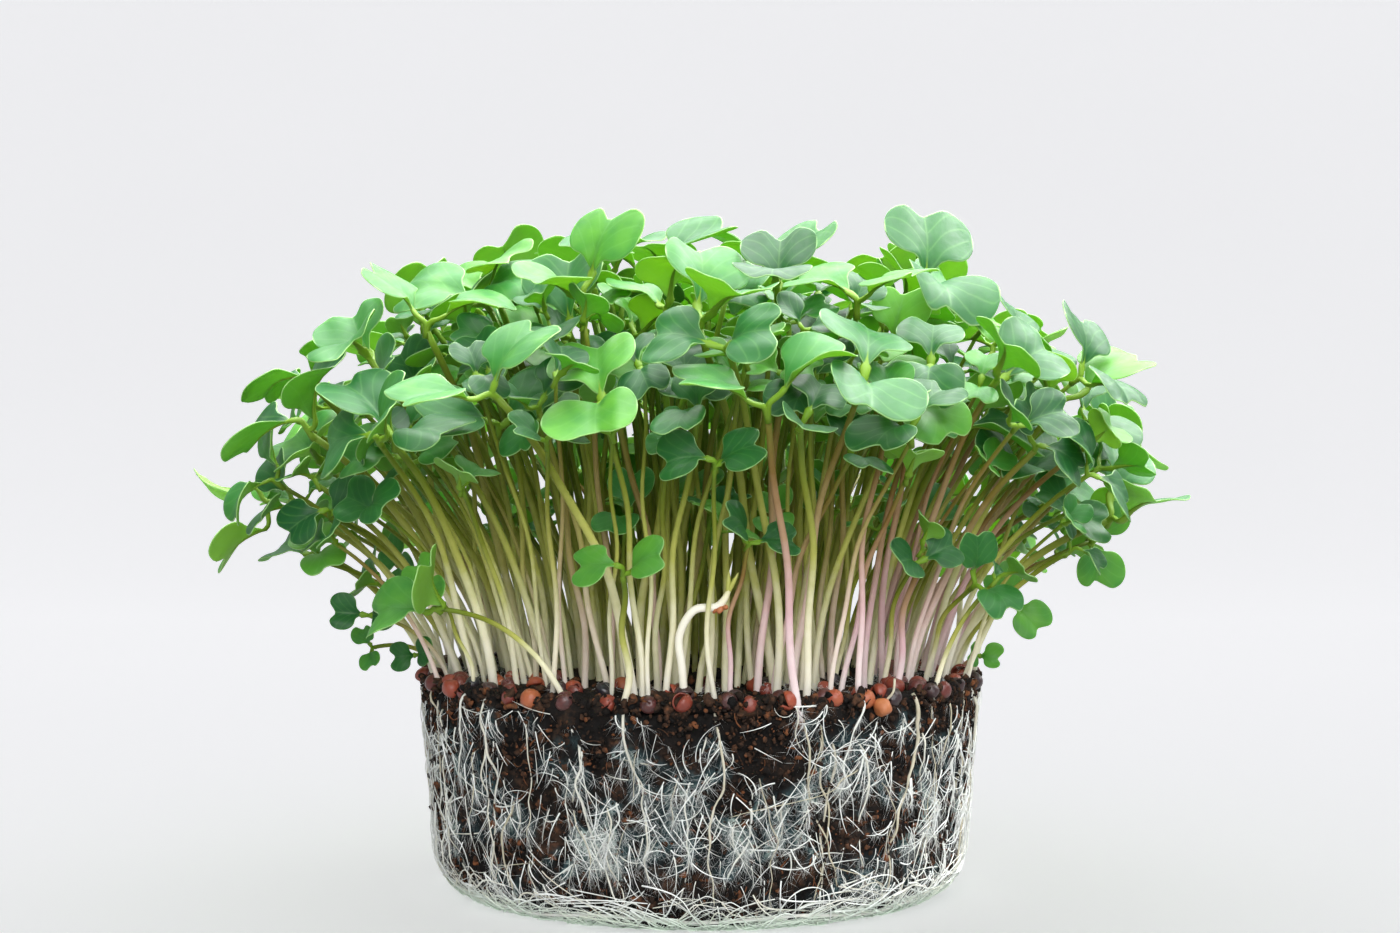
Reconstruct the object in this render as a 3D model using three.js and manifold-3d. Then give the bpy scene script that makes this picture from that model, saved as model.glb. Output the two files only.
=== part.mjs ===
// A round plug of microgreens: dark soil bound by its own white roots, spent seeds on top, and a dome
// of seedlings, each with a bare stem and two notched seed leaves.
// Millimetres, +Z up. The origin is the middle of the plug's flat underside, and -Y is the front.
import * as THREE from "three";
import { mergeVertices } from "three/addons/utils/BufferGeometryUtils.js";
import Module from "manifold-3d";

const wasm = await Module();
wasm.setup();

// Driving dimensions
const PLUG_TOP_RADIUS = 50;
const PLUG_FOOT_RADIUS = 47;
const PLUG_HEIGHT = 38;
const FOOT_ROUND = 8;
const SEED_RADIUS = 1.6;
const STEM_RADIUS = 1;
const LEAF_WIDTH = 15.5;
const LEAF_LENGTH = 10.5;
const LEAF_THICKNESS = 0.8;
const PETIOLE_LENGTH = 7;
const PETIOLE_WIDTH = 1.6;
const PETIOLE_RISE = 1;
const SADDLE_WIDTH = 2.3;
const CANOPY_RADIUS = 92;
const CANOPY_HEIGHT = 82;
const CLEAR_GAP = 0.35;

// The soil's skin: sides around, how far its rim crumbles away and where its flat top begins
const SOIL_SIDES = 36;
const SOIL_ROUGHNESS = 0.7;
const RIM_CHAMFER = 2;
const WALL_RINGS = [18, 28];
const FOOT_ARC_SHARES = [0.3, 0.65];
const SEEDS = 44;
const SEED_RING = 47;
const SEED_CLEARANCE = 5.2;

// How the seedlings stand: leans and tilts in radians, the rest as shares or millimetres
const CLUMPS = 50;
const LONE_CLEARANCE = 6.2;
const MEMBERS = 2;
const BED_RADIUS = 44;
const GOLDEN_ANGLE = Math.PI * (3 - Math.sqrt(5));
const CENTRE_LEAN = 0.1;
const RIM_LEAN = 0.88;
const LEAN_POWER = 1.3;
const CENTRE_LEAN_SPREAD = 0.1;
const RIM_LEAN_SPREAD = 0.15;
const CENTRE_SIDE_SPREAD = 0.6;
const RIM_SIDE_LOST = 0.3;
const FRONT_UPRIGHT = 0.22;
const FRONT_EVEN = 0.2;
const LEAF_ROOM = 13;
const FULL_GROWTH = 1;
const GROWTH_LOST = [0.12, 0.36];
const GROWTH_POWER = 1.6;
const SHORT_SHARE = 0.08;
const SHORT_GROWTH = 0.42;
const SHORT_SIZE = 0.65;
const BOW_ACROSS = 0.2;
const BOW_RISE = 0.5;
const FACE_ALONG_STEM = 0.72;
const FACE_UP = 0.3;
const FACE_NOD = 0.4;
const BLADE_TILT = 0.2;
const BLADE_TILT_SPREAD = 0.4;
const STALK_SPREAD = 0.25;
const LEAF_SIZE = 0.92;
const LEAF_SIZE_SPREAD = 0.17;
const CROWN_RADIUS = 2.9;
const LONE_CROWN_RADIUS = 1.8;
const CROWN_TIP_RADIUS = 0.8;
const CROWN_DEPTH = 9;
const CROWN_SIDES = 5;
const CROWN_OFFSET = 1;
const STEM_SUNK = 1.2;
const STEM_STEPS = 4;
const SPROUT_STEPS = 9;
const SPROUT_TENSION = 0.5;
const TRIES = 100;
const LEAF_TO_LEAF = 4.6;
const LEAF_TO_STEM = 3.6;
const STEM_TO_STEM = 2.8;

// Roots on the plug's side
const TAP_ROOTS = 16;
const TAP_ROOT_RADIUS = 0.65;
const TAP_ROOT_TOP = 34;
const SIDE_ROOTS = 18;
const SIDE_ROOT_RADIUS = 0.5;
const FOOT_RING_HEIGHT = 2.2;
const FOOT_STAND_OFF = 0.35;
const FOOT_RING_STEPS = 36;
const TAP_ROOT_STEPS = 5;
const SIDE_ROOT_STEPS = 3;
const SIDE_ROOT_HEIGHT = 22;
const SIDE_ROOT_FALL = 4;
const SIDE_ROOT_SPAN = 1.3;

const vec = (x, y, z) => new THREE.Vector3(x, y, z);
const UP = vec(0, 0, 1);

// A repeatable draw from 0 to 1 for each pair of whole numbers
function draw(index, salt) {
  const x = Math.sin(index * 127.1 + salt * 311.7) * 43758.5453;
  return x - Math.floor(x);
}

const about = (middle, spread, index, salt) => middle + spread * (2 * draw(index, salt) - 1);

// Closed geometry to solid, and back
function solidOf(geometry) {
  const bare = geometry.clone();
  bare.deleteAttribute("normal");
  bare.deleteAttribute("uv");
  const merged = mergeVertices(bare, 1e-4);
  return new wasm.Manifold(
    new wasm.Mesh({
      numProp: 3,
      vertProperties: new Float32Array(merged.attributes.position.array),
      triVerts: new Uint32Array(merged.index.array),
    }),
  );
}

function geometryOf(solid) {
  const mesh = solid.getMesh();
  const geometry = new THREE.BufferGeometry();
  geometry.setAttribute("position", new THREE.BufferAttribute(mesh.vertProperties, 3));
  geometry.setIndex(new THREE.BufferAttribute(mesh.triVerts, 1));
  geometry.computeVertexNormals();
  return geometry;
}

const joined = (solids) => solids.reduce((whole, next) => whole.add(next));

// A three-sided rod along a curve
function rod(curve, radius, steps) {
  const section = new THREE.Shape();
  for (let i = 0; i < 3; i++) {
    const turn = (2 * Math.PI * i) / 3;
    const corner = [radius * Math.cos(turn), radius * Math.sin(turn)];
    if (i === 0) section.moveTo(...corner);
    else section.lineTo(...corner);
  }
  return new THREE.ExtrudeGeometry(section, { steps, extrudePath: curve, bevelEnabled: false });
}

// The plug's side: its radius at a height
function plugRadius(z) {
  if (z >= FOOT_ROUND) {
    const rise = (z - FOOT_ROUND) / (PLUG_HEIGHT - FOOT_ROUND);
    return PLUG_FOOT_RADIUS + (PLUG_TOP_RADIUS - PLUG_FOOT_RADIUS) * rise;
  }
  const drop = FOOT_ROUND - Math.max(z, 0);
  return PLUG_FOOT_RADIUS - FOOT_ROUND + Math.sqrt(FOOT_ROUND ** 2 - drop ** 2);
}

// How far the canopy's dome is from the middle of the bed, at a lean from upright
function domeReach(lean) {
  const across = Math.abs(Math.sin(lean)) / CANOPY_RADIUS;
  const rise = Math.abs(Math.cos(lean)) / CANOPY_HEIGHT;
  return (across ** 3 + rise ** 3) ** (-1 / 3);
}

function clumpPlace(clump) {
  const radius = BED_RADIUS * Math.sqrt((clump + 0.5) / CLUMPS);
  const angle = clump * GOLDEN_ANGLE;
  return { radius, angle, point: vec(radius * Math.cos(angle), radius * Math.sin(angle), PLUG_HEIGHT) };
}

// A seedling: a stem that bows from its base to its tip, and a pair of leaves that face one way
function seedlingAt({ clump, base, tip, facing, turn, size, tilts, stalks }) {
  const rise = tip.clone().sub(base);
  const bow = base.clone().add(vec(BOW_ACROSS * rise.x, BOW_ACROSS * rise.y, BOW_RISE * rise.length()));
  const face = facing(tip.clone().sub(bow).normalize()).normalize();
  const spread = vec(1, 0, 0).cross(face).normalize().applyAxisAngle(face, turn);
  const leaves = [1, -1].map((way, i) => {
    const out = spread.clone().multiplyScalar(way);
    const climbing = (angle) =>
      out.clone().multiplyScalar(Math.cos(angle)).addScaledVector(face, Math.sin(angle));
    const blade = climbing(tilts[i]);
    const normal = climbing(tilts[i] + Math.PI / 2);
    const neck = tip.clone().addScaledVector(climbing(PETIOLE_RISE), PETIOLE_LENGTH * size * stalks[i]);
    const neckNormal = climbing((tilts[i] + PETIOLE_RISE + Math.PI) / 2);
    return { neck, neckNormal, blade, normal, across: blade.clone().cross(normal), size };
  });
  return { clump, base, bow, tip, facing: face, leaves };
}

// One draw of a clump's seedling. Those near the rim lean out further, less so at the front, and the
// first of a clump grows the tallest.
function seedlingDraw(clump, member, attempt) {
  const place = clumpPlace(clump);
  const seat = clump * MEMBERS + member;
  const id = seat + CLUMPS * MEMBERS * attempt;
  const spoke = place.angle + (2 * Math.PI * member) / MEMBERS;
  const base = place.point.clone().addScaledVector(vec(Math.cos(spoke), Math.sin(spoke), 0), CROWN_OFFSET);
  const share = place.radius / BED_RADIUS;
  const front = Math.max(0, -Math.sin(place.angle));
  const upright = 1 - FRONT_UPRIGHT * front;
  const leanSpread = CENTRE_LEAN_SPREAD + RIM_LEAN_SPREAD * share;
  const lean = upright * about(CENTRE_LEAN + RIM_LEAN * share ** LEAN_POWER, leanSpread, id, 1);
  const side = about(place.angle, CENTRE_SIDE_SPREAD - RIM_SIDE_LOST * share, id, 2);
  const short = draw(seat, 3) < SHORT_SHARE;
  const lost = GROWTH_LOST[member] * (1 - FRONT_EVEN * front);
  const growth = short ? SHORT_GROWTH : FULL_GROWTH - lost * draw(id, 4) ** GROWTH_POWER;
  const top = vec(Math.sin(lean) * Math.cos(side), Math.sin(lean) * Math.sin(side), Math.cos(lean));
  top.multiplyScalar(domeReach(lean) - LEAF_ROOM).add(vec(0, 0, PLUG_HEIGHT));
  const nod = vec(about(0, FACE_NOD, id, 5), about(0, FACE_NOD, id, 6), FACE_UP);
  return seedlingAt({
    clump,
    base,
    tip: base.clone().lerp(top, growth),
    facing: (end) => end.multiplyScalar(FACE_ALONG_STEM).add(nod),
    turn: 2 * Math.PI * draw(id, 7),
    size: (short ? SHORT_SIZE : 1) * about(LEAF_SIZE, LEAF_SIZE_SPREAD, seat, 8),
    tilts: [9, 10].map((salt) => about(BLADE_TILT, BLADE_TILT_SPREAD, id, salt)),
    stalks: [11, 12].map((salt) => about(1, STALK_SPREAD, id, salt)),
  });
}

// Some stand apart: one at the front lies low over the rim, and thin ones trail out at both sides.
// A base is x and y on the bed, and a tip also has its rise above the bed.
const loneSeedlings = [
  {
    name: "leaning_seedling",
    base: [-22.5, -39.2],
    tip: [-42, -47, 14.5],
    facing: [-0.75, -0.35, 0.6],
    turn: 1.4,
    size: 0.8,
    tilts: [0.7, 0.5],
    stalks: [0.5, 0.7],
  },
  {
    name: "trailing_seedling_1",
    base: [-45, 0],
    tip: [-77, 0, 30],
    facing: [-1, -0.1, -0.35],
    turn: 1.5,
    size: 0.85,
    tilts: [1, 0.9],
    stalks: [1, 1],
  },
  {
    name: "trailing_seedling_2",
    base: [-42.6, -14],
    tip: [-57, -16, 11],
    facing: [-0.2, -0.9, 0.2],
    turn: 1.5,
    size: 0.42,
    tilts: [0.2, 0.2],
    stalks: [1, 1],
  },
  {
    name: "trailing_seedling_3",
    base: [45, -2],
    tip: [70, 0, 23],
    facing: [0.3, -0.9, -0.2],
    turn: 0,
    size: 0.6,
    tilts: [0.2, 0.2],
    stalks: [0.6, 1],
  },
  {
    name: "trailing_seedling_4",
    base: [44, -8.5],
    tip: [54, -9, 13],
    facing: [0.3, -0.9, 0.1],
    turn: 0.7,
    size: 0.5,
    tilts: [0.2, 0.2],
    stalks: [1, 1],
  },
].map(({ name, base, tip, facing, ...pose }) => {
  const seedling = seedlingAt({
    clump: -1,
    base: vec(...base, PLUG_HEIGHT),
    tip: vec(...tip).addScaledVector(UP, PLUG_HEIGHT),
    facing: () => vec(...facing),
    ...pose,
  });
  return { name, ...seedling };
});

// A late sprout at the front is still hooked over, with its split husk at the bend
const sproutCurve = new THREE.CatmullRomCurve3(
  [
    [-2.4, -45, -1.2],
    [-2.9, -45.2, 5],
    [-3.3, -45.8, 10],
    [-1, -46.6, 14.2],
    [3, -47, 15],
    [5.2, -47.4, 18.6],
  ].map(([x, y, rise]) => vec(x, y, PLUG_HEIGHT + rise)),
  false,
  "catmullrom",
  SPROUT_TENSION,
);
const SPROUT_HUSK = vec(3.4, -47, PLUG_HEIGHT + 14.4);
const loneBases = [...loneSeedlings.map((seedling) => seedling.base), sproutCurve.points[0]];

// Around a blade: two round lobes with a notch between them, their sides lifted so that it folds
const BLADE_SIDE = [
  [0.3, 0.04, 0.04],
  [0.5, 0.48, 0.1],
  [0.28, 1, 0.06],
];
const BLADE_NOTCH = [0, 0.8, -0.04];
const BLADE_OUTLINE = [
  ...BLADE_SIDE,
  BLADE_NOTCH,
  ...BLADE_SIDE.map(([across, along, lift]) => [-across, along, lift]).reverse(),
];

// A point of a blade: across and along as shares of its width and length, lifted off its plane
function bladePoint(leaf, across, along, lift) {
  return leaf.neck
    .clone()
    .addScaledVector(leaf.across, across * LEAF_WIDTH * leaf.size)
    .addScaledVector(leaf.blade, along * LEAF_LENGTH * leaf.size)
    .addScaledVector(leaf.normal, lift * LEAF_LENGTH * leaf.size);
}

// Points that stand for a seedling while its neighbours are kept clear of it
const BLADE_PROBES = [
  ...BLADE_OUTLINE,
  [0, 0.15, 0],
  [-0.24, 0.48, 0],
  [0.24, 0.48, 0],
  [0, 0.5, 0],
];
const STEM_PROBES = 26;

function probesOf(seedling) {
  const curve = new THREE.QuadraticBezierCurve3(seedling.base, seedling.bow, seedling.tip);
  const leaves = seedling.leaves.flatMap((leaf) => [
    seedling.tip.clone().lerp(leaf.neck, 0.6),
    ...BLADE_PROBES.map((shares) => bladePoint(leaf, ...shares)),
  ]);
  return { clump: seedling.clump, stem: curve.getPoints(STEM_PROBES).slice(1), leaves };
}

function nearer(some, others, limit) {
  return some.some((a) => others.some((b) => a.distanceToSquared(b) < limit * limit));
}

function clashes(probes, other) {
  return (
    nearer(probes.leaves, other.leaves, LEAF_TO_LEAF) ||
    nearer(probes.leaves, other.stem, LEAF_TO_STEM) ||
    nearer(probes.stem, other.leaves, LEAF_TO_STEM) ||
    (probes.clump !== other.clump && nearer(probes.stem, other.stem, STEM_TO_STEM))
  );
}

// Each seedling is drawn again until it is clear of those already standing, or is left out
function standingSeedlings() {
  const standing = [];
  const sproutProbes = { clump: -1, stem: sproutCurve.getPoints(STEM_PROBES), leaves: [] };
  const taken = [...loneSeedlings.map(probesOf), sproutProbes];
  for (let seat = 0; seat < CLUMPS * MEMBERS; seat++) {
    const clump = Math.floor(seat / MEMBERS);
    if (loneBases.some((base) => base.distanceTo(clumpPlace(clump).point) < LONE_CLEARANCE)) continue;
    for (let attempt = 0; attempt < TRIES; attempt++) {
      const seedling = seedlingDraw(clump, seat % MEMBERS, attempt);
      const probes = probesOf(seedling);
      if (taken.some((other) => clashes(probes, other))) continue;
      standing.push(seedling);
      taken.push(probes);
      break;
    }
  }
  return standing;
}

// A pair of leaves is one bent plate: each petiole widens into its blade. Both faces of the plate are
// split into the same triangles, which fan out from the notch.
function leafPairSolid(seedling) {
  const rim = [];
  const lifts = [];
  const faces = [];
  const turn = BLADE_OUTLINE.length + 3;
  seedling.leaves.forEach((leaf, i) => {
    const start = i * turn;
    const notch = start + 1 + BLADE_SIDE.length;
    const farNeck = start + turn - 2;
    const half = leaf.across.clone().multiplyScalar(PETIOLE_WIDTH / 2);
    rim.push(leaf.neck.clone().add(half));
    BLADE_OUTLINE.forEach((shares) => rim.push(bladePoint(leaf, ...shares)));
    rim.push(leaf.neck.clone().sub(half));
    rim.push(seedling.tip.clone().addScaledVector(leaf.across, -SADDLE_WIDTH / 2));
    const saddle = seedling.facing.clone().divideScalar(Math.cos(PETIOLE_RISE));
    lifts.push(leaf.neckNormal, ...BLADE_OUTLINE.map(() => leaf.normal), leaf.neckNormal, saddle);
    const before = (start - 1 + 2 * turn) % (2 * turn);
    faces.push([before, start, farNeck], [before, farNeck, farNeck + 1], [start, notch, farNeck]);
    for (let j = start; j < notch - 1; j++) faces.push([j, j + 1, notch]);
    for (let j = notch + 1; j < farNeck; j++) faces.push([j, j + 1, notch]);
  });
  const top = rim.map((p, i) => p.clone().addScaledVector(lifts[i], LEAF_THICKNESS / 2));
  const under = rim.map((p, i) => p.clone().addScaledVector(lifts[i], -LEAF_THICKNESS / 2));
  const count = rim.length;
  const index = [];
  for (const [a, b, c] of faces) index.push(a, b, c, count + a, count + c, count + b);
  for (let i = 0; i < count; i++) {
    const next = (i + 1) % count;
    index.push(i, count + i, count + next, i, count + next, next);
  }
  const geometry = new THREE.BufferGeometry().setFromPoints([...top, ...under]);
  geometry.setIndex(index);
  return solidOf(geometry);
}

function seedlingSolid(seedling) {
  const sunk = seedling.base.clone().addScaledVector(UP, -STEM_SUNK);
  const curve = new THREE.QuadraticBezierCurve3(sunk, seedling.bow, seedling.tip);
  return solidOf(rod(curve, STEM_RADIUS, STEM_STEPS)).add(leafPairSolid(seedling));
}

// The crown where stems meet, tapering down into its hole in the soil
function crownSolid(crown, grow) {
  const depth = CROWN_DEPTH + 2 * grow;
  const cone = new THREE.CylinderGeometry(crown.radius + grow, CROWN_TIP_RADIUS + grow, depth, CROWN_SIDES);
  cone.rotateX(Math.PI / 2);
  cone.translate(crown.point.x, crown.point.y, PLUG_HEIGHT - CROWN_DEPTH / 2);
  return solidOf(cone);
}

function sproutSolid() {
  const husk = new THREE.IcosahedronGeometry(SEED_RADIUS * 0.8, 0).translate(...SPROUT_HUSK.toArray());
  return solidOf(rod(sproutCurve, STEM_RADIUS, SPROUT_STEPS)).add(solidOf(husk));
}

// Soil: a lathed plug with a crumbling rim, seeds lying on it and a plain hole for each clump
function crumbled(geometry) {
  const place = geometry.attributes.position;
  for (let i = 0; i < place.count; i++) {
    const [x, y, z] = [place.getX(i), place.getY(i), place.getZ(i)];
    if (z < FOOT_ROUND || Math.hypot(x, y) < PLUG_FOOT_RADIUS) continue;
    const crumb = 0.5 + 0.5 * Math.sin(1.7 * x + 0.9 * z) * Math.cos(1.3 * y - 1.1 * z);
    const inward = 1 - (SOIL_ROUGHNESS * crumb) / PLUG_TOP_RADIUS;
    place.setXYZ(i, x * inward, y * inward, z);
  }
  return geometry;
}

function soilSolid() {
  const arcCentre = PLUG_FOOT_RADIUS - FOOT_ROUND;
  const footArc = FOOT_ARC_SHARES.map((share) => {
    const turn = (share * Math.PI) / 2;
    return [arcCentre + FOOT_ROUND * Math.sin(turn), FOOT_ROUND * (1 - Math.cos(turn))];
  });
  const profile = [
    [0, 0],
    [arcCentre, 0],
    ...footArc,
    [PLUG_FOOT_RADIUS, FOOT_ROUND],
    ...WALL_RINGS.map((z) => [plugRadius(z), z]),
    [plugRadius(PLUG_HEIGHT - RIM_CHAMFER), PLUG_HEIGHT - RIM_CHAMFER],
    [PLUG_TOP_RADIUS - RIM_CHAMFER, PLUG_HEIGHT],
    [0, PLUG_HEIGHT],
  ].map(([radius, z]) => new THREE.Vector2(radius, z));
  const plug = new THREE.LatheGeometry(profile, SOIL_SIDES).rotateX(Math.PI / 2);
  let soil = solidOf(crumbled(plug));
  for (const seed of seedPlaces()) {
    const ball = new THREE.IcosahedronGeometry(SEED_RADIUS, 0).rotateZ(9 * seed.x);
    soil = soil.add(solidOf(ball.translate(seed.x, seed.y, seed.z)));
  }
  for (const crown of crowns) soil = soil.subtract(crownSolid(crown, CLEAR_GAP));
  return soil;
}

// Seeds lie around the rim, just inside its edge and clear of the crowns
function seedPlaces() {
  const places = [];
  for (let seed = 0; seed < SEEDS; seed++) {
    const angle = ((2 * Math.PI) / SEEDS) * about(seed, 0.3, seed, 20);
    const radius = about(SEED_RING, 0.5, seed, 21);
    const place = vec(radius * Math.cos(angle), radius * Math.sin(angle), PLUG_HEIGHT);
    if (crowns.every((crown) => crown.point.distanceTo(place) > SEED_CLEARANCE)) places.push(place);
  }
  return places;
}

// Roots: tap roots wander down the side, side roots cross them, and a ring circles the foot
function onPlug(angle, z) {
  const step = 0.1;
  const slope = (plugRadius(z + step) - plugRadius(z - step)) / (2 * step);
  const outward = vec(Math.cos(angle), Math.sin(angle), -slope).normalize();
  const skin = vec(plugRadius(z) * Math.cos(angle), plugRadius(z) * Math.sin(angle), z);
  const bend = z < 1.5 * FOOT_ROUND ? FOOT_STAND_OFF : 0;
  return skin.addScaledVector(outward, TAP_ROOT_RADIUS + CLEAR_GAP + bend);
}

function rootSolid(from, to, radius, steps, wander) {
  const points = [];
  for (let i = 0; i <= steps; i++) {
    const share = i / steps;
    const sway = wander * Math.sin(2.6 * Math.PI * share + 9 * from.angle);
    const angle = from.angle + (to.angle - from.angle) * share + sway;
    points.push(onPlug(angle, from.z + (to.z - from.z) * share));
  }
  return solidOf(rod(new THREE.CatmullRomCurve3(points), radius, steps));
}

function rootNetSolid() {
  const ring = [];
  for (let i = 0; i < FOOT_RING_STEPS; i++) {
    ring.push(onPlug((2 * Math.PI * i) / FOOT_RING_STEPS, FOOT_RING_HEIGHT));
  }
  const footRing = rod(new THREE.CatmullRomCurve3(ring, true), TAP_ROOT_RADIUS, FOOT_RING_STEPS);
  const roots = [solidOf(footRing)];
  const pitch = (2 * Math.PI) / TAP_ROOTS;
  for (let i = 0; i < TAP_ROOTS; i++) {
    const from = { angle: pitch * about(i, 0.25, i, 30), z: about(TAP_ROOT_TOP, 2, i, 32) };
    const to = { angle: pitch * about(i, 0.35, i, 31), z: FOOT_RING_HEIGHT };
    roots.push(rootSolid(from, to, TAP_ROOT_RADIUS, TAP_ROOT_STEPS, 0.03));
  }
  for (let i = 0; i < SIDE_ROOTS; i++) {
    const angle = ((2 * Math.PI) / SIDE_ROOTS) * about(i, 0.3, i, 40);
    const way = draw(i, 41) < 0.5 ? -1 : 1;
    const from = { angle, z: about(SIDE_ROOT_HEIGHT, 10, i, 42) };
    const span = way * pitch * about(SIDE_ROOT_SPAN, 0.2, i, 43);
    const to = { angle: angle + span, z: from.z - about(SIDE_ROOT_FALL, 3, i, 44) };
    roots.push(rootSolid(from, to, SIDE_ROOT_RADIUS, SIDE_ROOT_STEPS, 0.02));
  }
  return joined(roots);
}

// Materials and nodes
const material = (name, color, roughness) =>
  new THREE.MeshStandardMaterial({ name, color, roughness, metalness: 0 });
const SOIL = material("soil", 0x2b211a, 0.95);
const ROOT = material("root", 0xdcdcd0, 0.7);
const GREEN = material("seedling", 0x4f9a3c, 0.5);
const SPROUT = material("sprout", 0xe6e2cc, 0.5);

function node(name, solid, finish) {
  const mesh = new THREE.Mesh(geometryOf(solid), finish);
  mesh.name = name;
  return mesh;
}

// Every stem's crown, then the nodes
const seedlings = standingSeedlings();
const clumps = [...new Set(seedlings.map((seedling) => seedling.clump))].map((clump) => ({
  name: `seedlings_${String(clump + 1).padStart(2, "0")}`,
  crown: { point: clumpPlace(clump).point, radius: CROWN_RADIUS },
  solids: seedlings.filter((seedling) => seedling.clump === clump).map(seedlingSolid),
}));
for (const seedling of loneSeedlings) {
  clumps.push({
    name: seedling.name,
    crown: { point: seedling.base, radius: LONE_CROWN_RADIUS },
    solids: [seedlingSolid(seedling)],
  });
}
clumps.push({
  name: "late_sprout",
  crown: { point: sproutCurve.points[0], radius: LONE_CROWN_RADIUS },
  solids: [sproutSolid()],
});
const crowns = clumps.map((clump) => clump.crown);

const microgreens = new THREE.Group();
microgreens.add(node("soil_plug", soilSolid(), SOIL));
microgreens.add(node("root_net", rootNetSolid(), ROOT));
for (const clump of clumps) {
  const finish = clump.name === "late_sprout" ? SPROUT : GREEN;
  microgreens.add(node(clump.name, joined([crownSolid(clump.crown, 0), ...clump.solids]), finish));
}

export default microgreens;
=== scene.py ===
# %% [markdown]
# # A plug of microgreens
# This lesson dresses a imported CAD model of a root-bound plug of microgreens. The CAD model holds the
# plug, a net of its main roots, and clumps of seedlings with few sides. Each of them is replaced here by
# a finer piece at the same place: round stems, thin cupped leaves, crumbly soil, split husks and
# thousands of hair-fine roots.

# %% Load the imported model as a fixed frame
import math

import bmesh
import bpy
import numpy as np
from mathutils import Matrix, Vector
from mathutils.bvhtree import BVHTree


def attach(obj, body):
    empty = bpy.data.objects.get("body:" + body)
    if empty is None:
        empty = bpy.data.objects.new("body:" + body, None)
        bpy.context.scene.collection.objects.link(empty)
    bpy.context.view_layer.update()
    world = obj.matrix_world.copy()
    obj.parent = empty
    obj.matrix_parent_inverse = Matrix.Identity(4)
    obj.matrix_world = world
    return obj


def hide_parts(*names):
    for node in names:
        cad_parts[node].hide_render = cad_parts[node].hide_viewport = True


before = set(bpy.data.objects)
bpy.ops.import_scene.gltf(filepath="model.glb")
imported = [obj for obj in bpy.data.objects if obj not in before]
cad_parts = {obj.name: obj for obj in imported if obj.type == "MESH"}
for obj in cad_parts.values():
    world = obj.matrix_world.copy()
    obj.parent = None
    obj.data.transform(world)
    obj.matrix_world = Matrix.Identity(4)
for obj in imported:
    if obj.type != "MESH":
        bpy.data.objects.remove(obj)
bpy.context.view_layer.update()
MM = 0.001

# %% [markdown]
# ## Camera
# The camera stands level with the lowest leaves and looks almost straight ahead. So it sees the upper
# leaves from below, with the light shining through them, and looks down a little on the soil and the foot
# of the plug.

# %% Camera
CAMERA_PITCH = math.radians(0.75)
CAMERA_DISTANCE = 418 * MM
CAMERA_HEIGHT = 80 * MM
LENS = 60
NEAREST_SEEN = 10 * MM

camera_data = bpy.data.cameras.new("camera")
camera_data.lens = LENS
camera_data.clip_start = NEAREST_SEEN
camera = bpy.data.objects.new("camera", camera_data)
bpy.context.collection.objects.link(camera)
camera.location = (0, -CAMERA_DISTANCE, CAMERA_HEIGHT)
camera.rotation_euler = (math.pi / 2 - CAMERA_PITCH, 0, 0)
bpy.context.scene.camera = camera
print("camera at", tuple(round(x, 3) for x in camera.location))

# %% [markdown]
# ## Numbers that repeat
# Nothing here may change from one run to the next. How the seedlings and seeds stand comes from a formula
# that turns two whole numbers into a number from 0 to 1. The CAD model was made with the same formula,
# which is why the finer seedlings can stand exactly where its plainer ones are. Fine roots, hairs and
# crumbs come from a generator with a fixed seed.

# %% Repeatable draws and smooth noise
def draw(index, salt):
    x = math.sin(index * 127.1 + salt * 311.7) * 43758.5453
    return x - math.floor(x)


def about(middle, spread, index, salt):
    return middle + spread * (2 * draw(index, salt) - 1)


def unit(vectors):
    return vectors / np.linalg.norm(vectors, axis=-1, keepdims=True)


def lattice(cells, seed):
    """A repeatable value from 0 to 1 for each whole-number cell."""
    mixed = np.sin(cells @ np.array([12.9898, 78.233, 37.719]) + seed * 4.137) * 43758.5453
    return mixed - np.floor(mixed)


def cloud(points, size, seed):
    """Smooth noise from 0 to 1 whose lumps are about one size across."""
    scaled = points / size
    low = np.floor(scaled)
    share = scaled - low
    share = share * share * (3 - 2 * share)
    total = np.zeros(points.shape[:-1])
    for corner in np.ndindex(2, 2, 2):
        weight = np.prod(np.where(corner, share, 1 - share), axis=-1)
        total += weight * lattice(low + np.array(corner), seed)
    return total


rng = np.random.default_rng(7)
print("first draws", [round(draw(i, 1), 3) for i in range(4)])

# %% [markdown]
# ## From points to a piece
# Every piece is made of patches: points in millimetres, faces, and a few values for each point, such as
# how far along a stem it lies. The values become mesh attributes, which the materials read to change
# colour along a stem or towards the rim of a leaf. Writing whole arrays at once keeps this quick for
# hundreds of thousands of points.

# %% Patches, tubes and pieces
POINT_VALUES = ("along", "across", "tint", "under")


def patch(points, faces, finish=0, **values):
    return {"points": points.reshape(-1, 3), "faces": faces, "finish": finish, "values": values}


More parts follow.
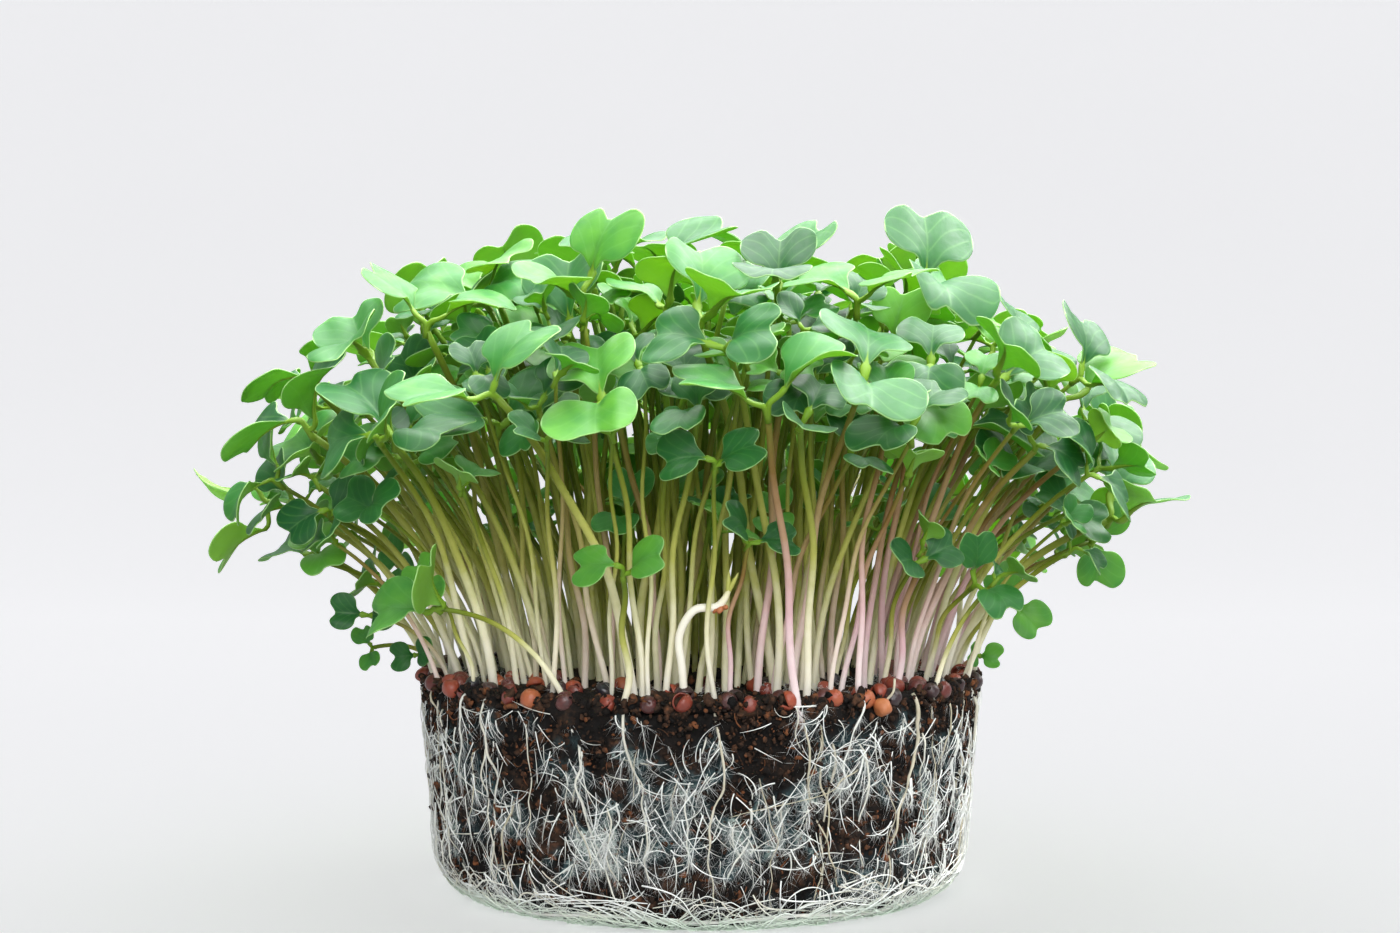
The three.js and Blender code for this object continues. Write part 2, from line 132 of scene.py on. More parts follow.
def build_piece(name, patches, finishes, slot, *nodes):
    """Join patches into one smooth mesh that rides on the plug and stands for some CAD nodes."""
    points = np.concatenate([p["points"] for p in patches]) * MM
    starts = np.cumsum([0] + [len(p["points"]) for p in patches])
    corners, sides, slots = [], [], []
    for part, start in zip(patches, starts):
        for faces in part["faces"]:
            corners.append((faces + start).ravel())
            sides.append(np.full(len(faces), faces.shape[1]))
            slots.append(np.full(len(faces), part["finish"]))
    sides = np.concatenate(sides)
    mesh = bpy.data.meshes.new(name)
    mesh.vertices.add(len(points))
    mesh.vertices.foreach_set("co", points.astype(np.float32).ravel())
    corners = np.concatenate(corners).astype(np.int32)
    mesh.loops.add(len(corners))
    mesh.loops.foreach_set("vertex_index", corners)
    mesh.polygons.add(len(sides))
    mesh.polygons.foreach_set("loop_start", (np.cumsum(sides) - sides).astype(np.int32))
    mesh.polygons.foreach_set("material_index", np.concatenate(slots).astype(np.int32))
    mesh.update(calc_edges=True)
    for label in POINT_VALUES:
        column = [np.broadcast_to(np.ravel(p["values"].get(label, 0.0)), len(p["points"])) for p in patches]
        stored = mesh.attributes.new(label, "FLOAT", "POINT")
        stored.data.foreach_set("value", np.concatenate(column).astype(np.float32))
    mesh.shade_smooth()
    for finish in finishes:
        mesh.materials.append(finish)
    piece = bpy.data.objects.new(name, mesh)
    bpy.context.collection.objects.link(piece)
    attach(piece, "root")
    if nodes:
        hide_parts(*nodes)
    return piece


def tubes(paths, radii, sides, outward, broad=1.0):
    """Closed tubes round many paths of one length, broadened towards outward, never along a path."""
    count, steps = paths.shape[:2]
    forward = unit(np.gradient(paths, axis=1))
    side = unit(np.cross(forward, np.broadcast_to(outward, paths.shape)))
    up = np.cross(side, forward) * np.broadcast_to(broad, paths.shape[:2])[..., None]
    turn = np.linspace(0, 2 * np.pi, sides, endpoint=False)
    ring = np.cos(turn)[:, None] * side[:, :, None] + np.sin(turn)[:, None] * up[:, :, None]
    skin = paths[:, :, None] + radii[:, :, None, None] * ring
    points = np.concatenate([skin.reshape(count, -1, 3), paths[:, :1], paths[:, -1:]], axis=1)
    place = np.arange(steps * sides).reshape(steps, sides)
    turned = np.roll(place, -1, axis=1)
    quads = np.stack([place[:-1], place[1:], turned[1:], turned[:-1]], axis=-1).reshape(-1, 4)
    first = np.stack([np.full(sides, steps * sides), place[0], turned[0]], axis=-1)
    last = np.stack([np.full(sides, steps * sides + 1), turned[-1], place[-1]], axis=-1)
    shift = (np.arange(count) * points.shape[1])[:, None, None]
    kinds = (quads, np.concatenate([first, last]))
    return points, [(kind[None] + shift).reshape(-1, kind.shape[1]) for kind in kinds]


def per_ring(values, sides):
    """One value for each ring of a tube, spread to all its points and its two end points."""
    spread = np.repeat(values, sides, axis=1)
    return np.concatenate([spread, values[:, :1], values[:, -1:]], axis=1)


def tube_patch(paths, radii, sides, outward, finish=0, broad=1.0, **rings):
    """A patch of tubes, whose values are given for each ring, each tube or all of them."""
    points, faces = tubes(paths, radii, sides, outward, broad)
    spread = {label: np.broadcast_to(value, paths.shape[:2]) for label, value in rings.items()}
    return patch(points, faces, finish, **{label: per_ring(spread[label], sides) for label in spread})


print("point values", POINT_VALUES)

# %% [markdown]
# ## How the seedlings stand
# Seeds were strewn over the whole bed, so the clumps follow a sunflower spiral. Each stem bows from its
# seed towards a dome, and those near the rim lean out further. A seedling is drawn again and again until
# its leaves and stem are clear of those already standing. These are the CAD model's own rule and numbers,
# in millimetres.

# %% The dome, the clumps and one seedling
PLUG_TOP_RADIUS = 50
PLUG_FOOT_RADIUS = 47
PLUG_HEIGHT = 38
FOOT_ROUND = 8
SEED_RADIUS = 1.6
LEAF_WIDTH = 15.5
LEAF_LENGTH = 10.5
PETIOLE_LENGTH = 7
PETIOLE_RISE = 1.0
CANOPY_RADIUS = 92
CANOPY_HEIGHT = 82
CLUMPS = 50
MEMBERS = 2
BED_RADIUS = 44
GOLDEN_ANGLE = math.pi * (3 - math.sqrt(5))
CENTRE_LEAN = 0.1
RIM_LEAN = 0.88
LEAN_POWER = 1.3
CENTRE_LEAN_SPREAD = 0.1
RIM_LEAN_SPREAD = 0.15
CENTRE_SIDE_SPREAD = 0.6
RIM_SIDE_LOST = 0.3
FRONT_UPRIGHT = 0.22
FRONT_EVEN = 0.2
LEAF_ROOM = 13
FULL_GROWTH = 1
GROWTH_LOST = (0.12, 0.36)
GROWTH_POWER = 1.6
SHORT_SHARE = 0.08
SHORT_GROWTH = 0.42
SHORT_SIZE = 0.65
FACE_ALONG_STEM = 0.72
FACE_UP = 0.3
FACE_NOD = 0.4
BLADE_TILT = 0.2
BLADE_TILT_SPREAD = 0.4
STALK_SPREAD = 0.25
CAD_LEAF = (0.92, 0.17)
NO_CLUMP = -1
UP = np.array([0.0, 0.0, 1.0])


def dome_reach(lean):
    across = abs(math.sin(lean)) / CANOPY_RADIUS
    rise = abs(math.cos(lean)) / CANOPY_HEIGHT
    return (across**3 + rise**3) ** (-1 / 3)


def place_at(angle, radius, height):
    """Points at angles round the plug's axis, at distances from it and at heights."""
    return np.stack(np.broadcast_arrays(radius * np.cos(angle), radius * np.sin(angle), height), axis=-1)


def spiral_place(index, count, bed):
    radius = bed * math.sqrt((index + 0.5) / count)
    angle = index * GOLDEN_ANGLE
    return radius, angle, place_at(angle, radius, PLUG_HEIGHT)


def turned_about(vector, axis, angle):
    spun = vector * math.cos(angle) + np.cross(axis, vector) * math.sin(angle)
    return spun + axis * np.dot(axis, vector) * (1 - math.cos(angle))


def seedling_at(clump, base, tip, facing, turn, size, tilts, stalks):
    rise = tip - base
    bow = base + np.array([0.2 * rise[0], 0.2 * rise[1], 0.5 * np.linalg.norm(rise)])
    face = unit(facing(unit(tip - bow)))
    spread = turned_about(unit(np.cross([1.0, 0.0, 0.0], face)), face, turn)
    leaves = []
    for way, tilt, stalk in zip((1, -1), tilts, stalks):
        blade = way * spread * math.cos(tilt) + face * math.sin(tilt)
        normal = -way * spread * math.sin(tilt) + face * math.cos(tilt)
        climb = way * spread * math.cos(PETIOLE_RISE) + face * math.sin(PETIOLE_RISE)
        reach = PETIOLE_LENGTH * size * stalk
        leaves.append({"neck": tip + reach * climb, "blade": blade, "normal": normal, "reach": reach})
        leaves[-1]["across"] = np.cross(blade, normal)
    seedling = {"clump": clump, "base": base, "bow": bow, "tip": tip}
    return seedling | {"face": face, "size": size, "leaves": leaves}


def seedling_draw(clump, base, radius, angle, seat, id, growing, leaf=CAD_LEAF, loose=1):
    share = radius / BED_RADIUS
    full, lost = growing
    front = max(0, -math.sin(angle))
    lean = (1 - FRONT_UPRIGHT * front) * about(
        CENTRE_LEAN + RIM_LEAN * share**LEAN_POWER, CENTRE_LEAN_SPREAD + RIM_LEAN_SPREAD * share, id, 1
    )
    side = about(angle, CENTRE_SIDE_SPREAD - RIM_SIDE_LOST * share, id, 2)
    short = draw(seat, 3) < SHORT_SHARE
    growth = SHORT_GROWTH if short else full - lost * (1 - FRONT_EVEN * front) * draw(id, 4) ** GROWTH_POWER
    top = np.array([math.sin(lean) * math.cos(side), math.sin(lean) * math.sin(side), math.cos(lean)])
    top = top * (dome_reach(lean) - LEAF_ROOM) + PLUG_HEIGHT * UP
    nod = np.array([about(0, loose * FACE_NOD, id, 5), about(0, loose * FACE_NOD, id, 6), FACE_UP])
    return seedling_at(
        clump,
        base,
        base + (top - base) * growth,
        lambda end: FACE_ALONG_STEM * end + nod,
        2 * math.pi * draw(id, 7),
        (SHORT_SIZE if short else 1) * about(*leaf, seat, 8),
        [about(BLADE_TILT, loose * BLADE_TILT_SPREAD, id, salt) for salt in (9, 10)],
        [about(1, STALK_SPREAD, id, salt) for salt in (11, 12)],
    )


def clump_draw(seat, attempt):
    clump, member = divmod(seat, MEMBERS)
    radius, angle, place = spiral_place(clump, CLUMPS, BED_RADIUS)
    spoke = angle + 2 * math.pi * member / MEMBERS
    base = place + np.array([math.cos(spoke), math.sin(spoke), 0])
    id = seat + CLUMPS * MEMBERS * attempt
    return seedling_draw(clump, base, radius, angle, seat, id, (FULL_GROWTH, GROWTH_LOST[member]))


print("dome reach upright and level", round(dome_reach(0), 1), round(dome_reach(math.pi / 2), 1))

# %% [markdown]
# Some seedlings stand where the eye finds them at once: one leans out over the front, four trail at the
# sides, and a late sprout is still bent over. Their feet, tips and facings are given one by one, measured
# from the plug's top.

# %% The ones that stand apart
def lone_seedling(base, tip, facing, turn, size, tilts, stalks):
    foot, top = np.array([*base, 0.0]), np.array(tip, dtype=float)
    lift = PLUG_HEIGHT * UP
    faced = np.array(facing)
    return seedling_at(NO_CLUMP, foot + lift, top + lift, lambda end: faced, turn, size, tilts, stalks)


LONE_VALUES = {
    "leaning_seedling": (
        (-22.5, -39.2), (-42, -47, 14.5), (-0.75, -0.35, 0.6), 1.4, 0.8, (0.7, 0.5), (0.5, 0.7)
    ),
    "trailing_seedling_1": ((-45, 0), (-77, 0, 30), (-1, -0.1, -0.35), 1.5, 0.85, (1, 0.9), (1, 1)),
    "trailing_seedling_2": ((-42.6, -14), (-57, -16, 11), (-0.2, -0.9, 0.2), 1.5, 0.42, (0.2, 0.2), (1, 1)),
    "trailing_seedling_3": ((45, -2), (70, 0, 23), (0.3, -0.9, -0.2), 0, 0.6, (0.2, 0.2), (0.6, 1)),
    "trailing_seedling_4": ((44, -8.5), (54, -9, 13), (0.3, -0.9, 0.1), 0.7, 0.5, (0.2, 0.2), (1, 1)),
}
lone_seedlings = {name: lone_seedling(*values) for name, values in LONE_VALUES.items()}
SPROUT_POINTS = np.array(
    [
        [-2.4, -45, -1.2],
        [-2.9, -45.2, 5],
        [-3.3, -45.8, 10],
        [-1, -46.6, 14.2],
        [3, -47, 15],
        [5.2, -47.4, 18.6],
    ]
)
SPROUT_POINTS[:, 2] += PLUG_HEIGHT


def smooth_path(points, steps):
    """A path of even steps through a few points, as a Catmull-Rom curve."""
    ends = np.concatenate([[2 * points[0] - points[1]], points, [2 * points[-1] - points[-2]]])
    span = np.linspace(0, len(points) - 1, steps)
    low = np.minimum(span.astype(int), len(points) - 2)
    t = (span - low)[:, None]
    a, b, c, d = (ends[low + i] for i in range(4))
    return b + 0.5 * t * (c - a + t * (2 * a - 5 * b + 4 * c - d + t * (3 * (b - c) + d - a)))


print("seedlings that stand apart", len(lone_seedlings))

# %% [markdown]
# Leaves that cut through each other would look wrong. So a few points of each leaf and stem stand for it,
# and a new seedling is kept only if none of its points comes too near to those of the others. The stems
# of one clump may touch.

# %% Keep the seedlings clear of each other
BLADE_SIDE = [(0.3, 0.04, 0.04), (0.5, 0.48, 0.1), (0.28, 1, 0.06)]
BLADE_PROBES = [(way * a, b, c) for way in (1, -1) for a, b, c in BLADE_SIDE]
BLADE_PROBES += [(0, 0.8, -0.04), (0, 0.15, 0), (-0.24, 0.48, 0), (0.24, 0.48, 0), (0, 0.5, 0)]
STEM_PROBES = 26
PETIOLE_PROBE = 0.6
LEAF_GAP = 4.6
LEAF_STEM_GAP = 3.6
STEM_GAP = 2.8
CROWN_CLEARANCE = 6.2
CAD_TRIES = 100


def blade_points(leaf, size, across, along, lift):
    """Points of a blade, from shares of its width and length, lifted off its plane."""
    out = leaf["neck"] + np.multiply.outer(across, leaf["across"]) * LEAF_WIDTH * size
    out = out + np.multiply.outer(along, leaf["blade"]) * LEAF_LENGTH * size
    return out + np.multiply.outer(lift, leaf["normal"]) * LEAF_LENGTH * size


def bow_path(base, bow, tip, steps):
    t = np.linspace(0, 1, steps)[:, None]
    return (1 - t) ** 2 * base + 2 * t * (1 - t) * bow + t**2 * tip


def probes_of(seedling, blade_probes=BLADE_PROBES, stem_probes=STEM_PROBES):
    shares = np.array(blade_probes).T
    leaves = []
    for leaf in seedling["leaves"]:
        leaves.append((seedling["tip"] + PETIOLE_PROBE * (leaf["neck"] - seedling["tip"]))[None])
        leaves.append(blade_points(leaf, seedling["size"], *shares))
    stem = bow_path(seedling["base"], seedling["bow"], seedling["tip"], stem_probes + 1)[1:]
    return np.concatenate(leaves), stem


def any_nearer(some, others, limit):
    if not len(others):
        return False
    near = np.all((others > some.min(0) - limit) & (others < some.max(0) + limit), axis=1)
    gaps = some[:, None] - others[near][None]
    return bool(np.any(np.einsum("ijk,ijk->ij", gaps, gaps) < limit * limit))


class Bed:
    """The seedlings that already stand, as points that new ones keep clear of."""

    def __init__(self):
        self.leaves = np.zeros((0, 3))
        self.stems = np.zeros((0, 3))
        self.owners = np.zeros(0)

    def add(self, leaves, stem, owner):
        self.leaves = np.concatenate([self.leaves, leaves])
        self.stems = np.concatenate([self.stems, stem])
        self.owners = np.concatenate([self.owners, np.full(len(stem), owner)])

    def has_room(self, seedling):
        leaves, stem = probes_of(seedling)
        others = self.stems[self.owners != seedling["clump"]]
        return not (
            any_nearer(leaves, self.leaves, LEAF_GAP)
            or any_nearer(leaves, self.stems, LEAF_STEM_GAP)
            or any_nearer(stem, self.leaves, LEAF_STEM_GAP)
            or any_nearer(stem, others, STEM_GAP)
        )


bed = Bed()
for lone in lone_seedlings.values():
    bed.add(*probes_of(lone), NO_CLUMP)
bed.add(np.zeros((0, 3)), smooth_path(SPROUT_POINTS, STEM_PROBES + 1), NO_CLUMP)
lone_bases = [lone["base"] for lone in lone_seedlings.values()] + [SPROUT_POINTS[0]]
seedlings = []
for seat in range(CLUMPS * MEMBERS):
    clump_base = spiral_place(seat // MEMBERS, CLUMPS, BED_RADIUS)[2]
    if any(np.linalg.norm(clump_base - base) < CROWN_CLEARANCE for base in lone_bases):
        continue
    for attempt in range(CAD_TRIES):
        candidate = clump_draw(seat, attempt)
        if bed.has_room(candidate):
            bed.add(*probes_of(candidate), candidate["clump"])
            seedlings.append(candidate)
            break
print("seedlings of the CAD model", len(seedlings))

# %% [markdown]
# The real plug is far more crowded than its CAD model, so more seedlings are squeezed in between. They
# come from a second spiral that runs right out to the rim. To see whether two of them cross, their true
# shapes are needed, so blade, petiole and stem are described first.

# %% The shape of a blade, a petiole and a stem
BLADE_COLUMNS = 25
BLADE_ROWS = 10
LOBE_AT = 0.5
FUNNEL_LENGTH = 0.24
FUNNEL_WIDTH = 0.22
CREASE_WIDTH = 0.1
NOTCH = (0.81, 0.07)
UNEVEN = 0.12
CUPPED = (0.15, 0.14)
DROOPED = (0.08, 0.22)
CURLED = (0.1, 0.35)
TWISTED = 0.12
RIPPLE = 0.025
STEM_STEPS = 20
STEM_FOOT_RADIUS = 0.7
FOOT_STEP = 2.2
FOOT_BEND = 0.45
STEM_DEPTH = 3
STEM_SWAY = 0.7
COARSE_EVERY = 3
COARSE_SIDES = 3
COARSE_STALK_STEPS = 5
COARSE_STALK_RADIUS = 0.4
UNTESTED_STEPS = STEM_STEPS // 4


def blade_grid(id):
    """A leaf's grid: shares of its width and length, and its lift, with the grid's own columns and rows."""
    u = np.sin(np.linspace(-np.pi / 2, np.pi / 2, BLADE_COLUMNS))[None, :]
    s = 0.5 - 0.5 * np.cos(np.linspace(0, np.pi, BLADE_ROWS))[:, None]
    off = np.abs(u)
    notch = about(*NOTCH, id, 50)
    inside = np.sin(np.pi / 2 * np.minimum(off / LOBE_AT, 1)) ** 2
    lobe = np.sqrt(np.clip(1 - ((off - LOBE_AT) / (1 - LOBE_AT)) ** 2, 0, 1))
    end = np.where(off > LOBE_AT, 0.5 + 0.5 * lobe, notch + (1 - notch) * inside)
    start = np.where(off > LOBE_AT, 0.5 - 0.5 * lobe, 0.05 * (1 - inside))
    start = start - FUNNEL_LENGTH * np.exp(-((u / FUNNEL_WIDTH) ** 2))
    along = start + (end - start) * s
    uneven = 1 + about(0, UNEVEN, id, 51) * np.sign(u)
    across = 0.5 * u * uneven + 0 * s
    along = 0.06 + (along - 0.06) * (1 + 0.6 * (uneven - 1))
    lift = about(*CUPPED, id, 52) * off**1.4
    lift = lift - max(0, about(*DROOPED, id, 53)) * np.clip((along - 0.35) / 0.65, 0, 1) ** 2
    lift = lift - max(0, about(*CURLED, id, 54)) * np.clip(off - 0.45, 0, 1) ** 2
    lift = lift + about(0, TWISTED, id, 55) * u * along
    lift = lift + RIPPLE * np.sin(2.6 * np.pi * u + 6.28 * draw(id, 56)) * along
    lift = lift - 0.1 * np.exp(-((u / FUNNEL_WIDTH) ** 2) - (np.maximum(along, 0) / 0.22) ** 2)
    lift = lift - 0.7 * np.maximum(-along, 0)
    lift = lift - 0.03 * np.exp(-((u / CREASE_WIDTH) ** 2)) * (1 - 0.6 * s)
    return across, along, lift, u + 0 * s, s + 0 * u


def petiole_path(seedling, leaf, end, steps):
    tip, face, reach = seedling["tip"], seedling["face"], leaf["reach"]
    landing = unit(0.75 * leaf["blade"] + 0.5 * face)
    corners = np.array([tip - 1.2 * face, tip + 0.4 * reach * face, end - 0.4 * reach * landing, end])
    t = np.linspace(0, 1, steps)[:, None]
    stalk = (1 - t) ** 3 * corners[0] + 3 * t * (1 - t) ** 2 * corners[1]
    return stalk + 3 * t**2 * (1 - t) * corners[2] + t**3 * corners[3]


def stem_path(seedling, id):
    """A stem's path, which sways a little and steps aside at its foot, and the way across its bow."""
    base, bow, tip = seedling["base"], seedling["bow"], seedling["tip"]
    path = bow_path(base - STEM_DEPTH * UP, bow, tip, STEM_STEPS)
    bend = np.cross(bow - base, tip - bow)
    plane = unit(bend) if np.linalg.norm(bend) > 1e-6 else np.array([1.0, 0.0, 0.0])
    share = np.linspace(0, 1, STEM_STEPS)
    sway = STEM_SWAY * np.sin(np.pi * share) * np.sin(share * about(9, 3, id, 60) + 6.28 * draw(id, 61))
    along_rim = unit(np.array([-base[1], base[0], 0.0]))
    step_aside = about(0, FOOT_STEP, id, 65) * np.clip(1 - share / FOOT_BEND, 0, 1) ** 2
    return path + sway[:, None] * plane + step_aside[:, None] * along_rim, plane


def grid_faces(rows, columns):
    place = np.arange(rows * columns).reshape(rows, columns)
    corners = [place[:-1, :-1], place[:-1, 1:], place[1:, 1:], place[1:, :-1]]
    return np.stack(corners, axis=-1).reshape(-1, 4)


def crossing_tree(seedling, id):
    """A coarse copy of a seedling, as a search tree that finds whether it crosses another."""
    path, plane = stem_path(seedling, id)
    upper = path[None, UNTESTED_STEPS:]
    parts = [tubes(upper, np.full(upper.shape[:2], STEM_FOOT_RADIUS), COARSE_SIDES, plane)]
    for i, leaf in enumerate(seedling["leaves"]):
        grids = blade_grid(2 * id + i)[:3]
        across, along, lift = (grid[::COARSE_EVERY, ::COARSE_EVERY] for grid in grids)
        blade = blade_points(leaf, seedling["size"], across, along, lift)
        parts.append((blade, [grid_faces(*across.shape)]))
        neck = blade[0, across.shape[1] // 2]
        stalk = petiole_path(seedling, leaf, neck, COARSE_STALK_STEPS)[None]
        radii = np.full(stalk.shape[:2], COARSE_STALK_RADIUS)
        parts.append(tubes(stalk, radii, COARSE_SIDES, leaf["across"]))
    points, faces = [], []
    for part, kinds in parts:
        for kind in kinds:
            faces += (kind + len(points)).tolist()
        points += part.reshape(-1, 3).tolist()
    return BVHTree.FromPolygons(points, faces)


FIRST_IDS = {"lone": 400, "cad": 500, "filler": 2500}
trees = [crossing_tree(lone, FIRST_IDS["lone"] + i) for i, lone in enumerate(lone_seedlings.values())]
trees += [crossing_tree(seedling, FIRST_IDS["cad"] + i) for i, seedling in enumerate(seedlings)]
print("seedlings to keep clear of", len(trees))

# %% [markdown]
# A grid of one-millimetre cells keeps the distance to the nearest leaf or stem. Asking it is so cheap
# that each newcomer can try many poses and begin with the one that has the most room.

# %% A grid that knows how much room there is
GRID_LOW = np.array([-115, -115, 25])
GRID_CELLS = (230, 230, 120)
GRID_REACH = 6


class Room:
    """Distance to the nearest point added so far, on a grid of one-millimetre cells, up to a reach."""

    def __init__(self):
        self.cells = np.full(GRID_CELLS, GRID_REACH, dtype=np.float32)
        span = np.arange(-GRID_REACH, GRID_REACH + 1)
        self.block = np.stack(np.meshgrid(span, span, span, indexing="ij"), axis=-1).reshape(-1, 3)

    def add(self, points):
        cells = np.floor(points - GRID_LOW).astype(int)[:, None] + self.block
        gaps = np.linalg.norm(cells + 0.5 + GRID_LOW - points[:, None], axis=-1)
        cells = np.clip(cells, 0, np.array(GRID_CELLS) - 1)
        np.minimum.at(self.cells, tuple(cells.reshape(-1, 3).T), gaps.ravel().astype(np.float32))

    def nearest(self, points):
        cells = np.clip(np.floor(points - GRID_LOW).astype(int), 0, np.array(GRID_CELLS) - 1)
        return float(self.cells[tuple(cells.T)].min())


ROOM_GRID = [(column, row) for column in range(-2, 3) for row in range(4)]
ROOM_BLADE = [(0.22 * i, 0.1 + 0.25 * j, 0.03 * abs(i)) for i, j in ROOM_GRID] + BLADE_PROBES
ROOM_STEM = 44
leaf_room, stem_room = Room(), Room()


def take_room(seedling):
    leaves, stem = probes_of(seedling, ROOM_BLADE, ROOM_STEM)
    leaf_room.add(leaves)
    stem_room.add(stem)


for standing in seedlings + list(lone_seedlings.values()):
    take_room(standing)
stem_room.add(smooth_path(SPROUT_POINTS, STEM_PROBES))
print("grid cells", leaf_room.cells.size)

# %% [markdown]
# The grid only judges by points, so the exact test comes second: a pose whose leaves, petioles or upper
# stem cross another seedling is passed over. Where no pose with full leaves fits, smaller leaves are
# tried.

# %% Fill the gaps between them
FILLERS = 520
FILLER_BED = 48.3
FILLER_TRIES = 40
FIRST_FILLER = 20000
SEAT_SPREAD = 1.2
LEAST_ROOM = 0.6
LEAF_LEAF_WEIGHT = 2.4
LEAF_STEM_WEIGHT = 1.2
STEM_STEM_WEIGHT = 1.3
LOW_STEM_PROBES = 5
WALL_STEMS_FROM = 46.6
WALL_STEM_DROP = 2.2
FILLER_LOWEST = 72
DROOP_SIDE = 38
DROOP_REFUSED = 0.45
KEPT_CLEAR_FROM = 43.5
KEPT_CLEAR = ((-2.44, -2.02), (-1.72, -1.42))
FILLER_GROWING = (0.95, 0.34)
FILLER_LEAVES = ((0.75, 0.26), (0.54, 0.18))
FILLER_LOOSE = 1.35


def room_for(seedling):
    leaves, stem = probes_of(seedling, ROOM_BLADE, ROOM_STEM)
    upper_stem = stem[LOW_STEM_PROBES:]
    return min(
        LEAF_LEAF_WEIGHT * leaf_room.nearest(leaves),
        LEAF_STEM_WEIGHT * stem_room.nearest(leaves),
        LEAF_STEM_WEIGHT * leaf_room.nearest(stem),
        STEM_STEM_WEIGHT * stem_room.nearest(upper_stem),
    )


def hides_the_front(radius, place):
    """Whether a stem would stand before the leaning seedling or the late sprout."""
    turn = math.atan2(place[1], place[0])
    return radius > KEPT_CLEAR_FROM and any(low < turn < high for low, high in KEPT_CLEAR)


fillers = []
for index in range(FILLERS):
    radius, angle, place = spiral_place(index, FILLERS, FILLER_BED)
    if hides_the_front(radius, place):
        continue
    tries = []
    for attempt in range(len(FILLER_LEAVES) * FILLER_TRIES):
        id = FIRST_FILLER + index + FILLERS * attempt
        rank = attempt // FILLER_TRIES
        base = place + np.array([about(0, SEAT_SPREAD, id, 13), about(0, SEAT_SPREAD, id, 14), 0])
        base = base - max(0, radius - WALL_STEMS_FROM) * WALL_STEM_DROP * draw(id, 15) * UP
        pose = (NO_CLUMP, base, min(radius, BED_RADIUS), angle, FIRST_FILLER + index, id)
        candidate = seedling_draw(*pose, FILLER_GROWING, FILLER_LEAVES[rank], FILLER_LOOSE)
        tip = candidate["tip"]
        droops = tip[2] < FILLER_LOWEST and abs(tip[0]) > DROOP_SIDE and draw(id, 16) < DROOP_REFUSED
        room = 0 if droops else room_for(candidate)
        if room > LEAST_ROOM:
            tries.append((-rank, room, attempt, candidate))
    for *_, candidate in sorted(tries, reverse=True):
        tree = crossing_tree(candidate, FIRST_IDS["filler"] + len(fillers))
        if any(tree.overlap(other) for other in trees):
            continue
        trees.append(tree)
        take_room(candidate)
        fillers.append(candidate)
        break
STUNTED = [
    ((45.5, -6), (48.8, -8, 3.4), (0.5, -0.85, 0.1), 1.4, 0.3, (0.6, 0.5), (0.6, 0.6)),
    ((-45, -4), (-58, -5, 4.5), (-0.3, -0.9, 0.1), 0.3, 0.28, (0.3, 0.3), (1, 1)),
    ((-45.5, -7), (-49.6, -9, 3.6), (-0.4, -0.85, 0.1), 1.7, 0.34, (0.5, 0.5), (0.6, 0.6)),
]
fillers += [lone_seedling(*values) for values in STUNTED]
print("seedlings in between", len(fillers))

# %% [markdown]
# ## Finishes
# A leaf has a soft gloss above, is paler below, and lets light through, so it mixes a plain surface with
# a translucent one. Its colour drifts from leaf to leaf and pales along the veins, and a pale rim is
# painted along its edge as a highlight. A stem is creamy or pink by the soil and turns olive as it climbs,
# and stems towards the middle are painted darker olive, as painted shade under the canopy. Soil is nearly
# black with rusty fibres, painted darker in its hollows as shade, and hazy with root hairs where roots
# are dense.

# %% Helpers for finishes
def new_finish(name):
    finish = bpy.data.materials.new(name)
    finish.use_nodes = True
    nodes = finish.node_tree.nodes
    surface = next(n for n in nodes if n.type == "BSDF_PRINCIPLED")
    output = next(n for n in nodes if n.type == "OUTPUT_MATERIAL")
    return finish, finish.node_tree, surface, output


def add_node(tree, kind, **values):
    made = tree.nodes.new(kind)
    for key, value in values.items():
        setattr(made, key, value)
    return made


def feed(tree, socket, value):
    """Link a socket to another, or set it to a plain value."""
    if isinstance(value, bpy.types.NodeSocket):
        tree.links.new(value, socket)
    else:
        socket.default_value = value


def point_value(tree, label):
    return add_node(tree, "ShaderNodeAttribute", attribute_name=label).outputs["Fac"]


def sums(tree, operation, first, second=0.0, third=0.0):
    made = add_node(tree, "ShaderNodeMath", operation=operation)
    for socket, value in zip(made.inputs, (first, second, third)):
        feed(tree, socket, value)
    return made.outputs[0]


def noise(tree, scale, detail=3.0):
    place = add_node(tree, "ShaderNodeTexCoord").outputs["Object"]
    made = add_node(tree, "ShaderNodeTexNoise")
    feed(tree, made.inputs["Vector"], place)
    feed(tree, made.inputs["Scale"], scale)
    feed(tree, made.inputs["Detail"], detail)
    return made.outputs["Fac"]


def ramp(tree, factor, stops):
    made = add_node(tree, "ShaderNodeValToRGB")
    elements = made.color_ramp.elements
    while len(elements) < len(stops):
        elements.new(1.0)
    for element, (place, colour) in zip(elements, stops):
        element.position = place
        element.color = (*colour, 1.0) if len(colour) == 3 else colour
    feed(tree, made.inputs["Fac"], factor)
    return made.outputs["Color"]


def fade(tree, factor, first, second):
    """Greys between two stops, each given as a place and a value."""
    return ramp(tree, factor, [(place, (value,) * 3) for place, value in (first, second)])


def jittered(tree, value, spread, scale, detail=3.0):
    """A value with noise added to it, by up to half the spread either way."""
    added = sums(tree, "MULTIPLY_ADD", noise(tree, scale, detail), spread, -spread / 2)
    return sums(tree, "ADD", value, added)


def mixed(tree, factor, first, second, blend="MIX"):
    made = add_node(tree, "ShaderNodeMix", data_type="RGBA", blend_type=blend)
    feed(tree, made.inputs["Factor"], factor)
    for socket, value in zip((made.inputs[6], made.inputs[7]), (first, second)):
        feed(tree, socket, (*value, 1.0) if isinstance(value, tuple) else value)
    return made.outputs[2]


